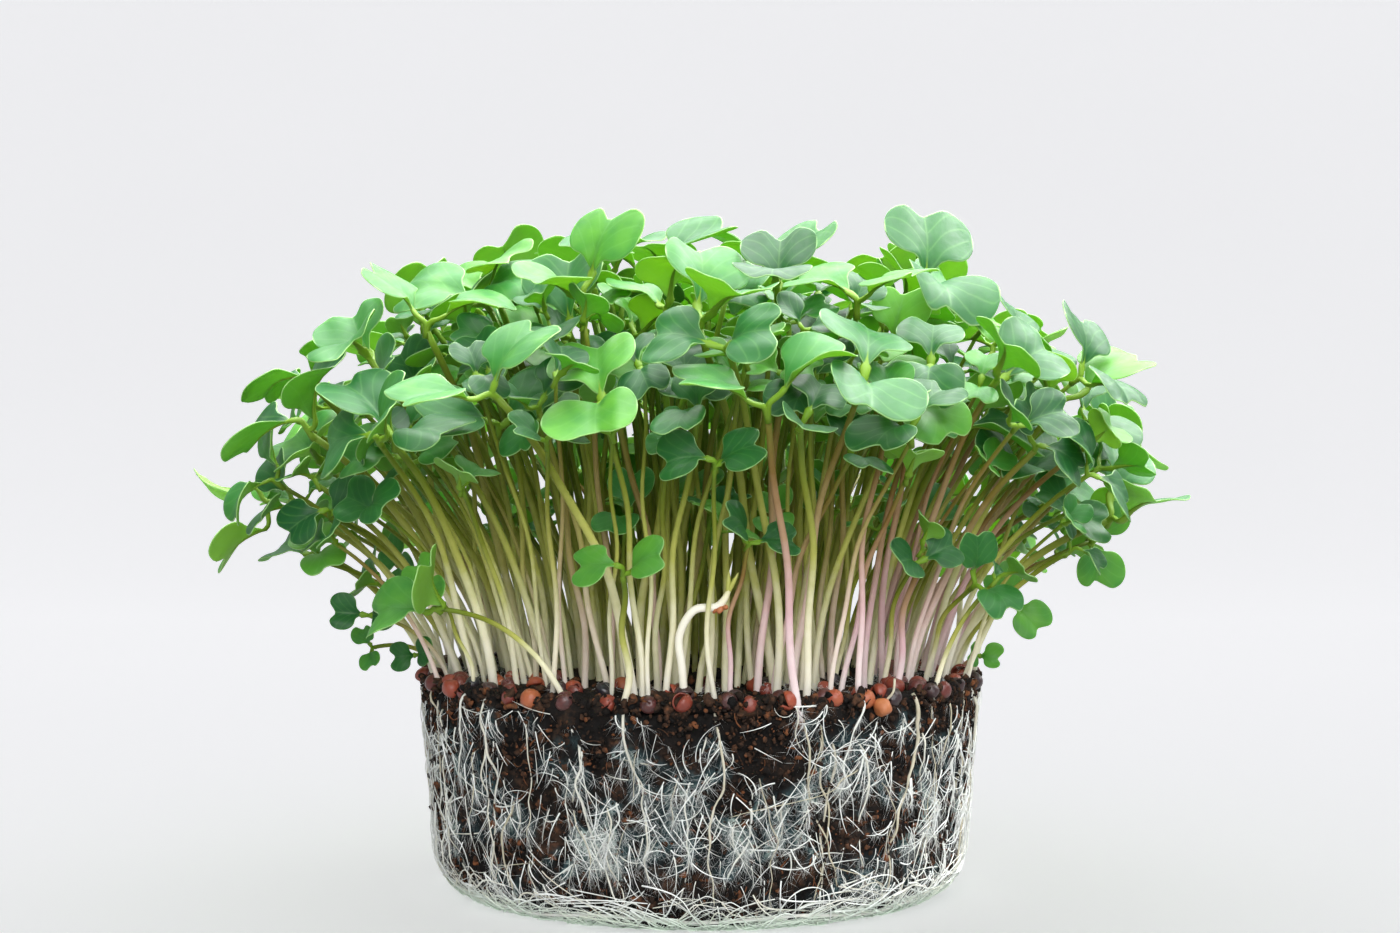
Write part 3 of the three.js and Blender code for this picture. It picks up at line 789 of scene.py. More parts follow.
def bump(tree, height, strength, distance):
    made = add_node(tree, "ShaderNodeBump")
    feed(tree, made.inputs["Strength"], strength)
    feed(tree, made.inputs["Distance"], distance * MM)
    feed(tree, made.inputs["Height"], height)
    return made.outputs["Normal"]


def see_through(tree, surface, output, colour, share):
    """Mix a translucent shader into a surface, so that light behind it shows."""
    through = add_node(tree, "ShaderNodeBsdfTranslucent")
    feed(tree, through.inputs["Color"], colour)
    both = add_node(tree, "ShaderNodeMixShader")
    feed(tree, both.inputs[0], share)
    tree.links.new(surface.outputs[0], both.inputs[1])
    tree.links.new(through.outputs[0], both.inputs[2])
    tree.links.new(both.outputs[0], output.inputs["Surface"])


print("helpers for finishes are ready")

# %% [markdown]
# The leaf's veins and its painted rim highlight are drawn from its own grid: across runs from side to side,
# along from neck to end.

# %% Leaf finish
VEIN_SLANT = 0.55
VEIN_PITCH = 0.16


def leaf_finish():
    finish, tree, surface, output = new_finish("seed_leaf")
    tint, under = point_value(tree, "tint"), point_value(tree, "under")
    along, across = point_value(tree, "along"), point_value(tree, "across")
    mottled = jittered(tree, tint, 0.5, 260)
    above = ramp(
        tree,
        mottled,
        [
            (0.0, (0.0035, 0.058, 0.017)),
            (0.4, (0.009, 0.106, 0.025)),
            (0.75, (0.027, 0.182, 0.032)),
            (1.0, (0.092, 0.315, 0.03)),
        ],
    )
    below = ramp(tree, mottled, [(0.0, (0.08, 0.25, 0.04)), (1.0, (0.2, 0.42, 0.06))])
    body = mixed(tree, under, above, below)
    off_middle = sums(tree, "ABSOLUTE", across)
    slanted = sums(tree, "SUBTRACT", along, sums(tree, "MULTIPLY", off_middle, VEIN_SLANT))
    side_vein = sums(tree, "PINGPONG", slanted, VEIN_PITCH)
    mid_vein = sums(tree, "MULTIPLY", off_middle, 1.4)
    veins = sums(tree, "MINIMUM", mid_vein, sums(tree, "ADD", side_vein, 0.01))
    vein_mask = fade(tree, veins, (0.0, 0.34), (0.045, 0.0))
    body = mixed(tree, vein_mask, body, (0.18, 0.42, 0.1))
    # A pale rim is painted along the leaf's edge: a painted highlight for light caught in the thin edge.
    off_row = sums(tree, "ABSOLUTE", sums(tree, "MULTIPLY_ADD", along, 2.0, -1.0))
    edge = sums(tree, "MAXIMUM", off_middle, off_row)
    rim_highlight_mask = fade(tree, edge, (0.96, 0.0), (0.99, 0.75))
    body = mixed(tree, rim_highlight_mask, body, (0.42, 0.66, 0.26))
    feed(tree, surface.inputs["Base Color"], body)
    rough = fade(tree, noise(tree, 900, 2), (0.3, 0.44), (0.7, 0.56))
    feed(tree, surface.inputs["Roughness"], rough)
    feed(tree, surface.inputs["Specular IOR Level"], 0.45)
    relief = sums(tree, "ADD", sums(tree, "MULTIPLY", noise(tree, 1500, 2), 0.4), veins)
    feed(tree, surface.inputs["Normal"], bump(tree, relief, 0.25, 0.25))
    glow = mixed(tree, mottled, (0.22, 0.55, 0.04), (0.46, 0.74, 0.08))
    see_through(tree, surface, output, glow, 0.37)
    return finish


leaf_green = leaf_finish()
print("made", leaf_green.name)

# %% Stem finish
def stem_finish():
    finish, tree, surface, output = new_finish("stem")
    along, tint = point_value(tree, "along"), point_value(tree, "tint")
    climb = jittered(tree, along, 0.16, 420)
    pale = ramp(
        tree,
        climb,
        [
            (0.0, (0.95, 0.92, 0.82)),
            (0.14, (0.88, 0.85, 0.62)),
            (0.34, (0.5, 0.51, 0.12)),
            (0.6, (0.23, 0.27, 0.025)),
            (0.85, (0.13, 0.2, 0.012)),
            (1.0, (0.17, 0.32, 0.02)),
        ],
    )
    pink = ramp(
        tree,
        climb,
        [
            (0.0, (0.93, 0.84, 0.84)),
            (0.2, (0.8, 0.52, 0.58)),
            (0.42, (0.5, 0.3, 0.2)),
            (0.68, (0.26, 0.14, 0.04)),
            (1.0, (0.2, 0.24, 0.025)),
        ],
    )
    blush = fade(tree, tint, (0.6, 0.0), (0.9, 0.9))
    body = mixed(tree, blush, pale, pink)
    feed(tree, surface.inputs["Base Color"], body)
    rough = fade(tree, noise(tree, 800, 2), (0.3, 0.42), (0.7, 0.56))
    feed(tree, surface.inputs["Roughness"], rough)
    feed(tree, surface.inputs["Specular IOR Level"], 0.3)
    feed(tree, surface.inputs["Normal"], bump(tree, noise(tree, 1400, 2), 0.2, 0.15))
    see_through(tree, surface, output, body, 0.3)
    return finish


stem_pale = stem_finish()
print("made", stem_pale.name)

# %% Soil, root and husk finishes
def soil_finish():
    finish, tree, surface, _ = new_finish("soil")
    tint, haze = point_value(tree, "tint"), point_value(tree, "across")
    # On the soil body this carries painted shade in the hollows as well as random grain.
    grain_and_shade = jittered(tree, tint, 1.0, 1100, 6)
    body = ramp(
        tree,
        grain_and_shade,
        [
            (0.0, (0.003, 0.003, 0.003)),
            (0.42, (0.008, 0.006, 0.005)),
            (0.64, (0.03, 0.017, 0.011)),
            (0.86, (0.072, 0.034, 0.019)),
            (1.0, (0.15, 0.056, 0.024)),
        ],
    )
    fibres = fade(tree, noise(tree, 1400, 6), (0.35, 0.35), (0.65, 1.0))
    veil_shade = ramp(
        tree,
        sums(tree, "MULTIPLY", haze, fibres),
        [(0.0, (0.006, 0.011, 0.013)), (0.4, (0.03, 0.055, 0.06)), (1.0, (0.36, 0.45, 0.41))],
    )
    body = mixed(tree, fade(tree, haze, (0.12, 0.0), (0.5, 1.0)), body, veil_shade)
    feed(tree, surface.inputs["Base Color"], body)
    feed(tree, surface.inputs["Roughness"], fade(tree, grain_and_shade, (0.0, 0.75), (1.0, 0.95)))
    feed(tree, surface.inputs["Specular IOR Level"], 0.15)
    feed(tree, surface.inputs["Normal"], bump(tree, noise(tree, 1300, 6), 0.8, 0.5))
    return finish


def root_finish():
    finish, tree, surface, output = new_finish("root")
    shade = jittered(tree, point_value(tree, "tint"), 0.4, 500)
    body = ramp(
        tree,
        shade,
        [
            (0.0, (0.55, 0.5, 0.36)),
            (0.35, (0.76, 0.74, 0.64)),
            (0.7, (0.86, 0.88, 0.85)),
            (1.0, (0.93, 0.95, 0.94)),
        ],
    )
    # Mat roots near the foot turn pale mint: partly their own green, partly painted light that brightens
    # the shaded foot.
    body = mixed(tree, point_value(tree, "under"), body, (0.84, 0.96, 0.84))
    feed(tree, surface.inputs["Base Color"], body)
    feed(tree, surface.inputs["Roughness"], fade(tree, shade, (0.0, 0.6), (1.0, 0.45)))
    see_through(tree, surface, output, body, 0.3)
    return finish


def husk_finish():
    finish, tree, surface, _ = new_finish("husk")
    shade = jittered(tree, point_value(tree, "tint"), 0.3, 900, 4)
    body = ramp(
        tree,
        shade,
        [
            (0.0, (0.014, 0.015, 0.02)),
            (0.2, (0.04, 0.018, 0.018)),
            (0.45, (0.13, 0.024, 0.017)),
            (0.75, (0.26, 0.046, 0.02)),
            (1.0, (0.36, 0.12, 0.04)),
        ],
    )
    feed(tree, surface.inputs["Base Color"], body)
    feed(tree, surface.inputs["Roughness"], fade(tree, shade, (0.0, 0.32), (1.0, 0.5)))
    feed(tree, surface.inputs["Normal"], bump(tree, noise(tree, 2200, 4), 0.45, 0.2))
    return finish


soil_dark = soil_finish()
root_white = root_finish()
husk_brown = husk_finish()
print("made", soil_dark.name, root_white.name, husk_brown.name)

# %% [markdown]
# ## A fine seedling
# A seed leaf is two round lobes with a notch between them. A flat grid can be bent into it: each of its
# columns runs from the near edge of the leaf to the far edge, and the columns crowd together towards the
# sides. Two such sheets, a fraction of a millimetre apart, close along the rim. The petiole runs on under
# the blade as its midrib.

# %% One leaf
PETIOLE_RADIUS = 0.6
PETIOLE_STEPS = 9
PETIOLE_SIDES = 8
HALF_THICK = 0.2
RIM_THINNER = 0.13
RIB_LIFT = 0.12
RIB_GREEN = 1.1


def rim_closing_grid(rows, columns, gap):
    """Faces of two grids, one over the other, closed round their rim."""
    place = np.arange(rows * columns).reshape(rows, columns)
    top = grid_faces(rows, columns)
    rim = np.concatenate([place[0, :-1], place[:-1, -1], place[-1, :0:-1], place[:0:-1, 0]])
    after = np.roll(rim, -1)
    wall = np.stack([rim, rim + gap, after + gap, after], axis=-1)
    return [top, top[:, ::-1] + gap, wall]


def leaf_patches(seedling, leaf, id, tint):
    size = seedling["size"]
    across, along, lift, u, s = blade_grid(id)
    edge = np.maximum(np.abs(u), np.abs(2 * s - 1))
    thick = (HALF_THICK - RIM_THINNER * edge**6) / (LEAF_LENGTH * size)
    upper = blade_points(leaf, size, across, along, lift + thick)
    lower = blade_points(leaf, size, across, along, lift - thick)
    count = u.size
    blade = patch(
        np.concatenate([upper.reshape(-1, 3), lower.reshape(-1, 3)]),
        rim_closing_grid(BLADE_ROWS, BLADE_COLUMNS, count),
        0,
        along=np.tile(s.ravel(), 2),
        across=np.tile(u.ravel(), 2),
        tint=tint,
        under=np.repeat([0.0, 1.0], count),
    )
    rib = lower[:-1, BLADE_COLUMNS // 2] + RIB_LIFT * leaf["normal"]
    path = np.concatenate([petiole_path(seedling, leaf, rib[0], PETIOLE_STEPS), rib[1:]])[None]
    share = np.linspace(0, 1, PETIOLE_STEPS)
    thin = np.concatenate([1 - 0.3 * share, np.linspace(0.55, 0.15, len(rib) - 1)])[None]
    flare = np.concatenate([1 + 1.3 * share**3, np.linspace(2.2, 1, len(rib) - 1)])[None]
    radii = PETIOLE_RADIUS * size**0.5 * thin
    climb = np.concatenate([0.93 + 0.17 * share, np.full(len(rib) - 1, RIB_GREEN)])[None]
    return [blade, tube_patch(path, radii, PETIOLE_SIDES, leaf["across"], 1, flare, along=climb, tint=0.2)]


print("blade grid", BLADE_ROWS, "by", BLADE_COLUMNS)

# %% One stem, and the whole seedling
STEM_SIDES = 9
STEM_TIP_RADIUS = 0.52
FOOT_TAPER = 0.07
# Stems towards the middle climb the colour ramp sooner, so they are painted darker olive: painted shade
# under the canopy.
INNER_SHADE_GREEN = 0.3
INNER_PALE = 0.5


def seedling_patches(seedling, id, blush=None, tint=None):
    base = seedling["base"]
    path, plane = stem_path(seedling, id)
    share = np.linspace(0, 1, STEM_STEPS)
    radius = STEM_FOOT_RADIUS + (STEM_TIP_RADIUS - STEM_FOOT_RADIUS) * share**0.8
    radius = radius * np.minimum(1, 0.3 + share / FOOT_TAPER)
    radius = (radius * about(0.97, 0.27, id, 62) * seedling["size"] ** 0.3)[None]
    height = np.clip((path[:, 2] - PLUG_HEIGHT) / (CANOPY_HEIGHT * 0.85), 0, 1)
    climb = np.maximum(0.9 * height, 0.93 * share**1.5)[None]
    inward = 1 - min(1, math.hypot(base[0], base[1]) / BED_RADIUS)
    # Painted shade: stems towards the middle get a darker olive, as if further up.
    climb = climb + INNER_SHADE_GREEN * inward
    blush = draw(id, 63) + 0.2 * base[0] / BED_RADIUS - INNER_PALE * inward if blush is None else blush
    tint = draw(id, 64) if tint is None else tint
    made = [tube_patch(path[None], radius, STEM_SIDES, plane, 1, along=climb, tint=blush)]
    for i, leaf in enumerate(seedling["leaves"]):
        made += leaf_patches(seedling, leaf, 2 * id + i, tint)
    return made


GREENERY = [leaf_green, stem_pale]
print("stem rings", STEM_STEPS, "of", STEM_SIDES)

# %% [markdown]
# A clump of the CAD model is replaced by its own fine seedlings and by the newcomers that stand nearest
# to it.

# %% Make the clumps
homes = {s["clump"]: spiral_place(s["clump"], CLUMPS, BED_RADIUS)[2] for s in seedlings}
home_names = list(homes)
home_places = np.array([homes[name] for name in home_names])
clump_patches = {name: [] for name in home_names}
for id, seedling in enumerate(seedlings):
    clump_patches[seedling["clump"]] += seedling_patches(seedling, FIRST_IDS["cad"] + id)
for id, seedling in enumerate(fillers):
    nearest = home_names[int(np.argmin(np.linalg.norm(home_places - seedling["base"], axis=1)))]
    clump_patches[nearest] += seedling_patches(seedling, FIRST_IDS["filler"] + id)
for name, patches in clump_patches.items():
    node = f"seedlings_{name + 1:02d}"
    build_piece(f"{node}_grown", patches, GREENERY, "seedlings", node)
LONE_BLUSH = (0.0, 0.2, 0.7, 0.1, 0.5)
# Leaf tints of the lone seedlings; trailing_seedling_2 gets the darkest, 0.1, as painted shade for leaves
# hanging in shadow.
LONE_TINT_AND_SHADE = (0.85, 0.9, 0.1, 0.8, 0.9)
for number, (name, lone) in enumerate(lone_seedlings.items()):
    patches = seedling_patches(lone, FIRST_IDS["lone"] + number, LONE_BLUSH[number], LONE_TINT_AND_SHADE[number])
    build_piece(f"{name}_grown", patches, GREENERY, "seedlings", name)
print("clumps", len(clump_patches))

# %% [markdown]
# ## The plug of soil
# The plug was turned out of a round mould, so its side follows a smooth taper with a rounded foot, but
# close up it is crumbs. A lathed skin with fine rows is pushed in by layers of noise, and loose crumbs
# are strewn over it.

# %% The plug's outline
LEAST_HEIGHT = 0.15
SLOPE_STEP = 0.1


def plug_radius(z):
    z = np.asarray(z, dtype=float)
    taper = PLUG_TOP_RADIUS - PLUG_FOOT_RADIUS
    wall = PLUG_FOOT_RADIUS + taper * (z - FOOT_ROUND) / (PLUG_HEIGHT - FOOT_ROUND)
    drop = FOOT_ROUND - np.clip(z, 0, FOOT_ROUND)
    foot = PLUG_FOOT_RADIUS - FOOT_ROUND + np.sqrt(FOOT_ROUND**2 - drop**2)
    return np.where(z >= FOOT_ROUND, wall, foot)


def on_plug(angle, z, off):
    """A point of the plug's side, at an angle and a height, held off it by a distance; and the way out."""
    rise = plug_radius(z + SLOPE_STEP) - plug_radius(np.maximum(z - SLOPE_STEP, 0))
    outward = unit(place_at(angle, 1, -rise / (2 * SLOPE_STEP)))
    held = place_at(angle, plug_radius(z), z) + np.asarray(off)[..., None] * outward
    held[..., 2] = np.maximum(held[..., 2], LEAST_HEIGHT)
    return held, outward


print("plug radius at foot, middle and top", plug_radius(np.linspace(0, PLUG_HEIGHT, 3)))

# %% [markdown]
# ## The roots
# Tap roots run down the side, as in the CAD model, and a thinner root goes down from each stem that
# stands near the rim, with others in between. Fine side roots branch off in fans and leave patches of
# bare soil. A mat of curling roots circles the foot. All lie against what was the mould's wall, so a path
# is a row of angles and heights, held off that wall by a little.

# %% Tap roots and their net
TAP_ROOTS = 16
SIDE_ROOTS = 18
RIM_STEM_RADIUS = 45.6
WALL_ROOTS = 76
ROOT_STEPS = 40
ROOT_SIDES = 7
ROOT_TOP = 37.4
ROOT_DIVE = 1.5
ROOT_WEAVE = 2.0
FOOT_RING_HEIGHT = 2.2
HANGING_SEED = np.array([29.7, -40.4, 36.0])
THREAD_POINTS = np.array([[1.9, 0.6, 4.6], [1.6, -0.3, 2.6], [0.5, 0.0, 1.2]])
THREAD_STEPS = 12
THREAD_RADIUS = 0.2
FOOT_RING_STEPS = 140
FOOT_RING_RADIUS = 0.3


def main_roots():
    """Rows of start and end angle, start and end height, sway, phase, radius and depth."""
    routes = []
    pitch = 2 * np.pi / TAP_ROOTS
    for i in range(TAP_ROOTS):
        start, end = pitch * about(i, 0.25, i, 30), pitch * about(i, 0.35, i, 31)
        radius = about(0.27, 0.07, i, 33)
        routes.append((start, end, ROOT_TOP, FOOT_RING_HEIGHT, 0.02, 9 * start, radius, -0.2))
    side_pitch = 2 * np.pi / SIDE_ROOTS
    for i in range(SIDE_ROOTS):
        start = side_pitch * about(i, 0.3, i, 40)
        way = -1 if draw(i, 41) < 0.5 else 1
        high = about(22, 10, i, 42)
        end = start + way * pitch * about(1.3, 0.2, i, 43)
        low = high - about(8, 5, i, 44)
        routes.append((start, end, high, low, 0.05, 9 * start, about(0.13, 0.04, i, 34), -0.4))
    for i, seedling in enumerate(seedlings + fillers):
        x, y, _ = seedling["base"]
        if math.hypot(x, y) < RIM_STEM_RADIUS:
            continue
        start = math.atan2(y, x)
        end = start + about(0, 0.13, i, 46)
        low = 2 + 24 * draw(i, 48) ** 2
        radius, depth = about(0.2, 0.09, i, 49), about(-0.2, 0.25, i, 50)
        routes.append((start, end, ROOT_TOP, low, 0.012, 7 * i, radius, depth))
    for i in range(WALL_ROOTS):
        start = 2 * np.pi / WALL_ROOTS * about(i, 0.6, i, 51)
        end = start + about(0, 0.12, i, 52)
        high, low = about(28, 9, i, 56), 2 + 12 * draw(i, 53) ** 2
        radius, depth = about(0.16, 0.08, i, 54), about(-0.2, 0.3, i, 55)
        routes.append((start, end, high, low, 0.015, 5 * i, radius, depth))
    return np.array(routes)


def root_lines(routes):
    """Angles and heights along each root, with a slow sway and small kinks."""
    start, end, high, low, sway, phase, _, _ = (column[:, None] for column in routes.T)
    share = np.linspace(0, 1, ROOT_STEPS)[None]
    heights = high + (low - high) * share
    angles = start + (end - start) * share + sway * np.sin(2.6 * np.pi * share + phase)
    row = np.arange(len(routes))[:, None] * 37.0
    kinks = cloud(np.stack([heights / 3 + row, row + 0 * heights, 0 * heights], axis=-1), 1.0, 31) - 0.5
    rise = cloud(np.stack([heights / 4 + row, row + 5 + 0 * heights, 0 * heights], axis=-1), 1.0, 32) - 0.5
    return angles + 0.024 * kinks, heights, rise


routes = main_roots()
tap_angles, tap_heights, tap_rise = root_lines(routes)
root_share = np.linspace(0, 1, ROOT_STEPS)[None]
tap_dive = ROOT_DIVE * (np.exp(-root_share / 0.03) + np.exp(-(1 - root_share) / 0.05))
tap_off = np.minimum(routes[:, 7:8] + ROOT_WEAVE * tap_rise, 0.35) - tap_dive
tap_paths, tap_out = on_plug(tap_angles, tap_heights, tap_off)
tap_swell = cloud(np.stack([tap_heights / 2, tap_angles * 90, 0 * tap_heights], axis=-1), 1.0, 33)
tap_radii = routes[:, 6:7] * (0.6 + 0.7 * tap_swell) * (1 - 0.55 * root_share)
tap_shades = np.array([about(0.35, 0.35, i, 70) for i in range(len(routes))])
tap_patches = [tube_patch(tap_paths, tap_radii, ROOT_SIDES, tap_out, tint=tap_shades[:, None])]
ring_angles = np.linspace(0, 2 * np.pi, FOOT_RING_STEPS)[None]
ring_heights = FOOT_RING_HEIGHT + 0.5 * np.sin(9 * ring_angles)
ring_path, ring_out = on_plug(ring_angles, ring_heights, 0.15 + 0.2 * np.sin(5 * ring_angles))
ring_radii = FOOT_RING_RADIUS + 0 * ring_angles
tap_patches.append(tube_patch(ring_path, ring_radii, ROOT_SIDES, ring_out, tint=0.6))
thread_path = smooth_path(HANGING_SEED + THREAD_POINTS, THREAD_STEPS)[None]
thread_radii = np.full((1, THREAD_STEPS), THREAD_RADIUS)
tap_patches.append(tube_patch(thread_path, thread_radii, ROOT_SIDES, -thread_path, tint=0.1))
build_piece("tap_roots", tap_patches, [root_white], "roots", "root_net")
print("main roots", len(routes))

# %% Fine roots in fans
FANS = 330
FAN_MEMBERS = 4
LONE_FINE_ROOTS = 900
UPWARD_FANS = 0.25
FINE_STEPS = 11
FINE_SIDES = 5
BARE_FROM = 0.515
BARE_EDGE = 0.07


def bare_soil(angles, heights):
    """Where the side shows bare soil, from 0 to 1: in patches, more of them towards the rim."""
    places, _ = on_plug(angles, heights, 0 * heights)
    patches = 0.6 * cloud(places, 5.5, 21) + 0.4 * cloud(places, 2.6, 22)
    high_up = 0.2 * np.clip((heights - 29) / 9, 0, 1)
    low_down = 0.8 * np.clip((8 - heights) / 8, 0, 1)
    at_the_sides = 0.2 * np.cos(angles) ** 4
    rise = high_up - low_down - at_the_sides
    return np.clip((patches + 0.13 * rise - BARE_FROM) / BARE_EDGE, 0, 1)


def fine_roots():
    hub_root = rng.integers(0, len(routes), FANS)
    hub_step = rng.integers(0, ROOT_STEPS, FANS)
    hub_angle, hub_height = tap_angles[hub_root, hub_step], tap_heights[hub_root, hub_step]
    hub_way = rng.normal(0, 0.6, FANS) + np.pi * (rng.random(FANS) < UPWARD_FANS)
    angle = np.repeat(hub_angle, FAN_MEMBERS) + rng.normal(0, 0.012, FANS * FAN_MEMBERS)
    height = np.repeat(hub_height, FAN_MEMBERS) + rng.normal(0, 1.0, FANS * FAN_MEMBERS)
    heading = np.repeat(hub_way, FAN_MEMBERS) + rng.normal(0, 0.75, FANS * FAN_MEMBERS)
    angle = np.concatenate([angle, rng.uniform(0, 2 * np.pi, LONE_FINE_ROOTS)])
    height = np.concatenate([height, 35.5 * rng.random(LONE_FINE_ROOTS) + 1])
    heading = np.concatenate([heading, rng.normal(0, 0.7, LONE_FINE_ROOTS)])
    count = len(angle)
    length = rng.gamma(3.0, 1.3, count) + 1.6
    share = np.linspace(0, 1, FINE_STEPS)[None]
    way = heading[:, None] + rng.normal(0, 0.9, count)[:, None] * share
    step = length[:, None] / (FINE_STEPS - 1)
    angles = angle[:, None] + np.cumsum(np.sin(way) * step, axis=1) / PLUG_FOOT_RADIUS
    heights = np.clip(height[:, None] - np.cumsum(np.cos(way) * step, axis=1), 0.4, 37)
    off = rng.uniform(-0.4, 0.3, count)[:, None] + 0.6 * np.sin(np.pi * share) * rng.random(count)[:, None]
    middle = FINE_STEPS // 2
    kept = rng.random(count) > 0.78 * bare_soil(angles[:, middle], heights[:, middle])
    return angles[kept], heights[kept], off[kept]


fine_angles, fine_heights, fine_off = fine_roots()
fine_count = len(fine_angles)
fine_paths, fine_out = on_plug(fine_angles, fine_heights, fine_off)
fine_radii = (0.06 + 0.1 * rng.random(fine_count) ** 1.6)[:, None] * np.linspace(1, 0.3, FINE_STEPS)[None]
fine_tint = rng.uniform(0.55, 1, fine_count)[:, None]
for half in range(2):
    paths, radii, out, tint = (x[half::2] for x in (fine_paths, fine_radii, fine_out, fine_tint))
    fine_patch = tube_patch(paths, radii, FINE_SIDES, out, tint=tint)
    build_piece(f"fine_roots_{half + 1}", [fine_patch], [root_white], "roots")
print("fine roots", fine_count)

# %% Mat round the foot
MAT_ROOTS = 1050
MAT_STEPS = 12


def mat_roots(count):
    start = rng.uniform(0, 2 * np.pi, count)[:, None]
    height = 0.5 + 5 * rng.random(count)[:, None] ** 2.4
    length = rng.uniform(4, 15, count)[:, None]
    share = np.linspace(0, 1, MAT_STEPS)[None]
    slope = rng.normal(0, 0.35, count)[:, None]
    curl = rng.normal(0, 1.6, count)[:, None]
    angles = start + length * (share + 0.12 * np.sin(5 * share + 7 * start)) / PLUG_FOOT_RADIUS
    heights = height + slope * length * (share - 0.5) + curl * np.sin(np.pi * share)
    off = 0.1 + rng.uniform(0, 0.6, count)[:, None] + 0.15 * np.sin(7 * share + 5 * start)
    return angles, np.clip(heights, 0.35, 12), off


mat_angles, mat_heights, mat_off = mat_roots(MAT_ROOTS)
mat_paths, mat_out = on_plug(mat_angles, mat_heights, mat_off)
mat_radii = (0.07 + 0.14 * rng.random(MAT_ROOTS) ** 2)[:, None] * np.linspace(1, 0.5, MAT_STEPS)[None]
mat_tint = rng.uniform(0.3, 1, MAT_ROOTS)[:, None]
# Greener and paler towards the foot: the roots' own green, with painted light where the foot lies in shade.
mat_green_and_light = np.clip(1.2 - mat_heights / 4, 0, 1)
mat_patch = tube_patch(mat_paths, mat_radii, FINE_SIDES, mat_out, tint=mat_tint, under=mat_green_and_light)
build_piece("root_mat", [mat_patch], [root_white], "roots")
print("mat roots", MAT_ROOTS)

# %% [markdown]
# Each root wears a fuzz of root hairs, too fine to see one by one, which greys the soil around it like
# breath on glass. A hair is the thinnest closed shape there is: a spindle with three sides, and six faces
# in all. Tens of thousands of them still make a light mesh.

# %% Root hairs
HAIRS_ON_TAPS = 11500
HAIRS_ON_FINE = 12000
HAIRS_AT_FOOT = 5000
HAIRS_PER_STEM = 40
FUZZY_FROM = 36


def spindles(starts, ends, radii):
    """Hairs from starts to ends, thickest in the middle."""
    along = unit(ends - starts)
    side = unit(np.cross(along, rng.normal(size=starts.shape)))
    turn = 2 * np.pi / 3 * np.arange(3)
    across = np.cross(along, side)
    round_it = np.cos(turn)[:, None] * side[:, None] + np.sin(turn)[:, None] * across[:, None]
    middle = starts + 0.35 * (ends - starts)
    ring = middle[:, None] + radii[:, None, None] * round_it
    points = np.concatenate([starts[:, None], ring, ends[:, None]], axis=1)
    faces = np.array([[0, 2, 1], [0, 3, 2], [0, 1, 3], [4, 1, 2], [4, 2, 3], [4, 3, 1]])
    shift = (5 * np.arange(len(starts)))[:, None, None]
    return points, [(faces[None] + shift).reshape(-1, 3)]


def hairs_on(angles, heights, off, longest, spread):
    """Hairs that start at angles and heights on the side, lie flat and point down, more or less."""
    count = len(angles)
    starts, _ = on_plug(angles, heights, off)
    way = -np.pi / 2 + rng.normal(0, spread, count)
    reach = longest * (0.3 + 0.7 * rng.random(count))
    end_heights = np.clip(heights + reach * np.sin(way), 0.3, 37.5)
    end_angles = angles + reach * np.cos(way) / PLUG_FOOT_RADIUS
    ends, _ = on_plug(end_angles, end_heights, off + rng.normal(0.12, 0.2, count))
    return spindles(starts, ends, rng.uniform(0.011, 0.024, count))


def picked(lines, count):
    """Random places along lines of angles, heights and offsets, fewer on bare soil and at the sides."""
    angles, heights, off = (np.broadcast_to(x, lines[0].shape).ravel() for x in lines)
    pick = rng.integers(0, len(angles), 2 * count)
    crowded = 0.7 * np.cos(angles[pick]) ** 2
    kept = rng.random(len(pick)) > np.maximum(0.85 * bare_soil(angles[pick], heights[pick]), crowded)
    pick = pick[kept][:count]
    return angles[pick], heights[pick], off[pick]


def stem_fuzz():
    """Hairs round the foot of each stem that stands well out from the middle."""
    bases = np.array([x["base"] for x in seedlings + fillers])
    bases = np.repeat(bases[np.hypot(bases[:, 0], bases[:, 1]) > FUZZY_FROM], HAIRS_PER_STEM, axis=0)
    turn = rng.uniform(0, 2 * np.pi, len(bases))
    around = np.stack([np.cos(turn), np.sin(turn), 0 * turn], axis=1)
    starts = bases + 0.5 * around + rng.uniform(-0.8, 1.8, len(bases))[:, None] * UP
    reach = rng.uniform(0.5, 1.9, len(bases))[:, None]
    ends = starts + reach * unit(around + rng.normal(-0.2, 0.5, bases.shape))
    return spindles(starts, ends, rng.uniform(0.012, 0.026, len(bases)))


hair_sets = {
    "tap_root_hairs": hairs_on(*picked((tap_angles, tap_heights, tap_off), HAIRS_ON_TAPS), 4.5, 0.55),
    "fine_root_hairs": hairs_on(*picked((fine_angles, fine_heights, fine_off), HAIRS_ON_FINE), 3.5, 1.0),
    "foot_hairs": hairs_on(*picked((mat_angles, mat_heights, mat_off), HAIRS_AT_FOOT), 2.0, 1.6),
    "stem_fuzz": stem_fuzz(),
}
for name, (points, faces) in hair_sets.items():
    build_piece(name, [patch(points, faces, 0, tint=0.9)], [root_white], "roots")
print("root hairs", {name: len(points) for name, (points, _) in hair_sets.items()})

# %% [markdown]
# The finest hairs are shown by colour alone. A map of the plug's side counts how crowded the roots are,
# is blurred a little, and tells the soil's finish where to turn grey.

# %% Where root hairs veil the soil
VEIL_ANGLES = 480
VEIL_HEIGHTS = 72


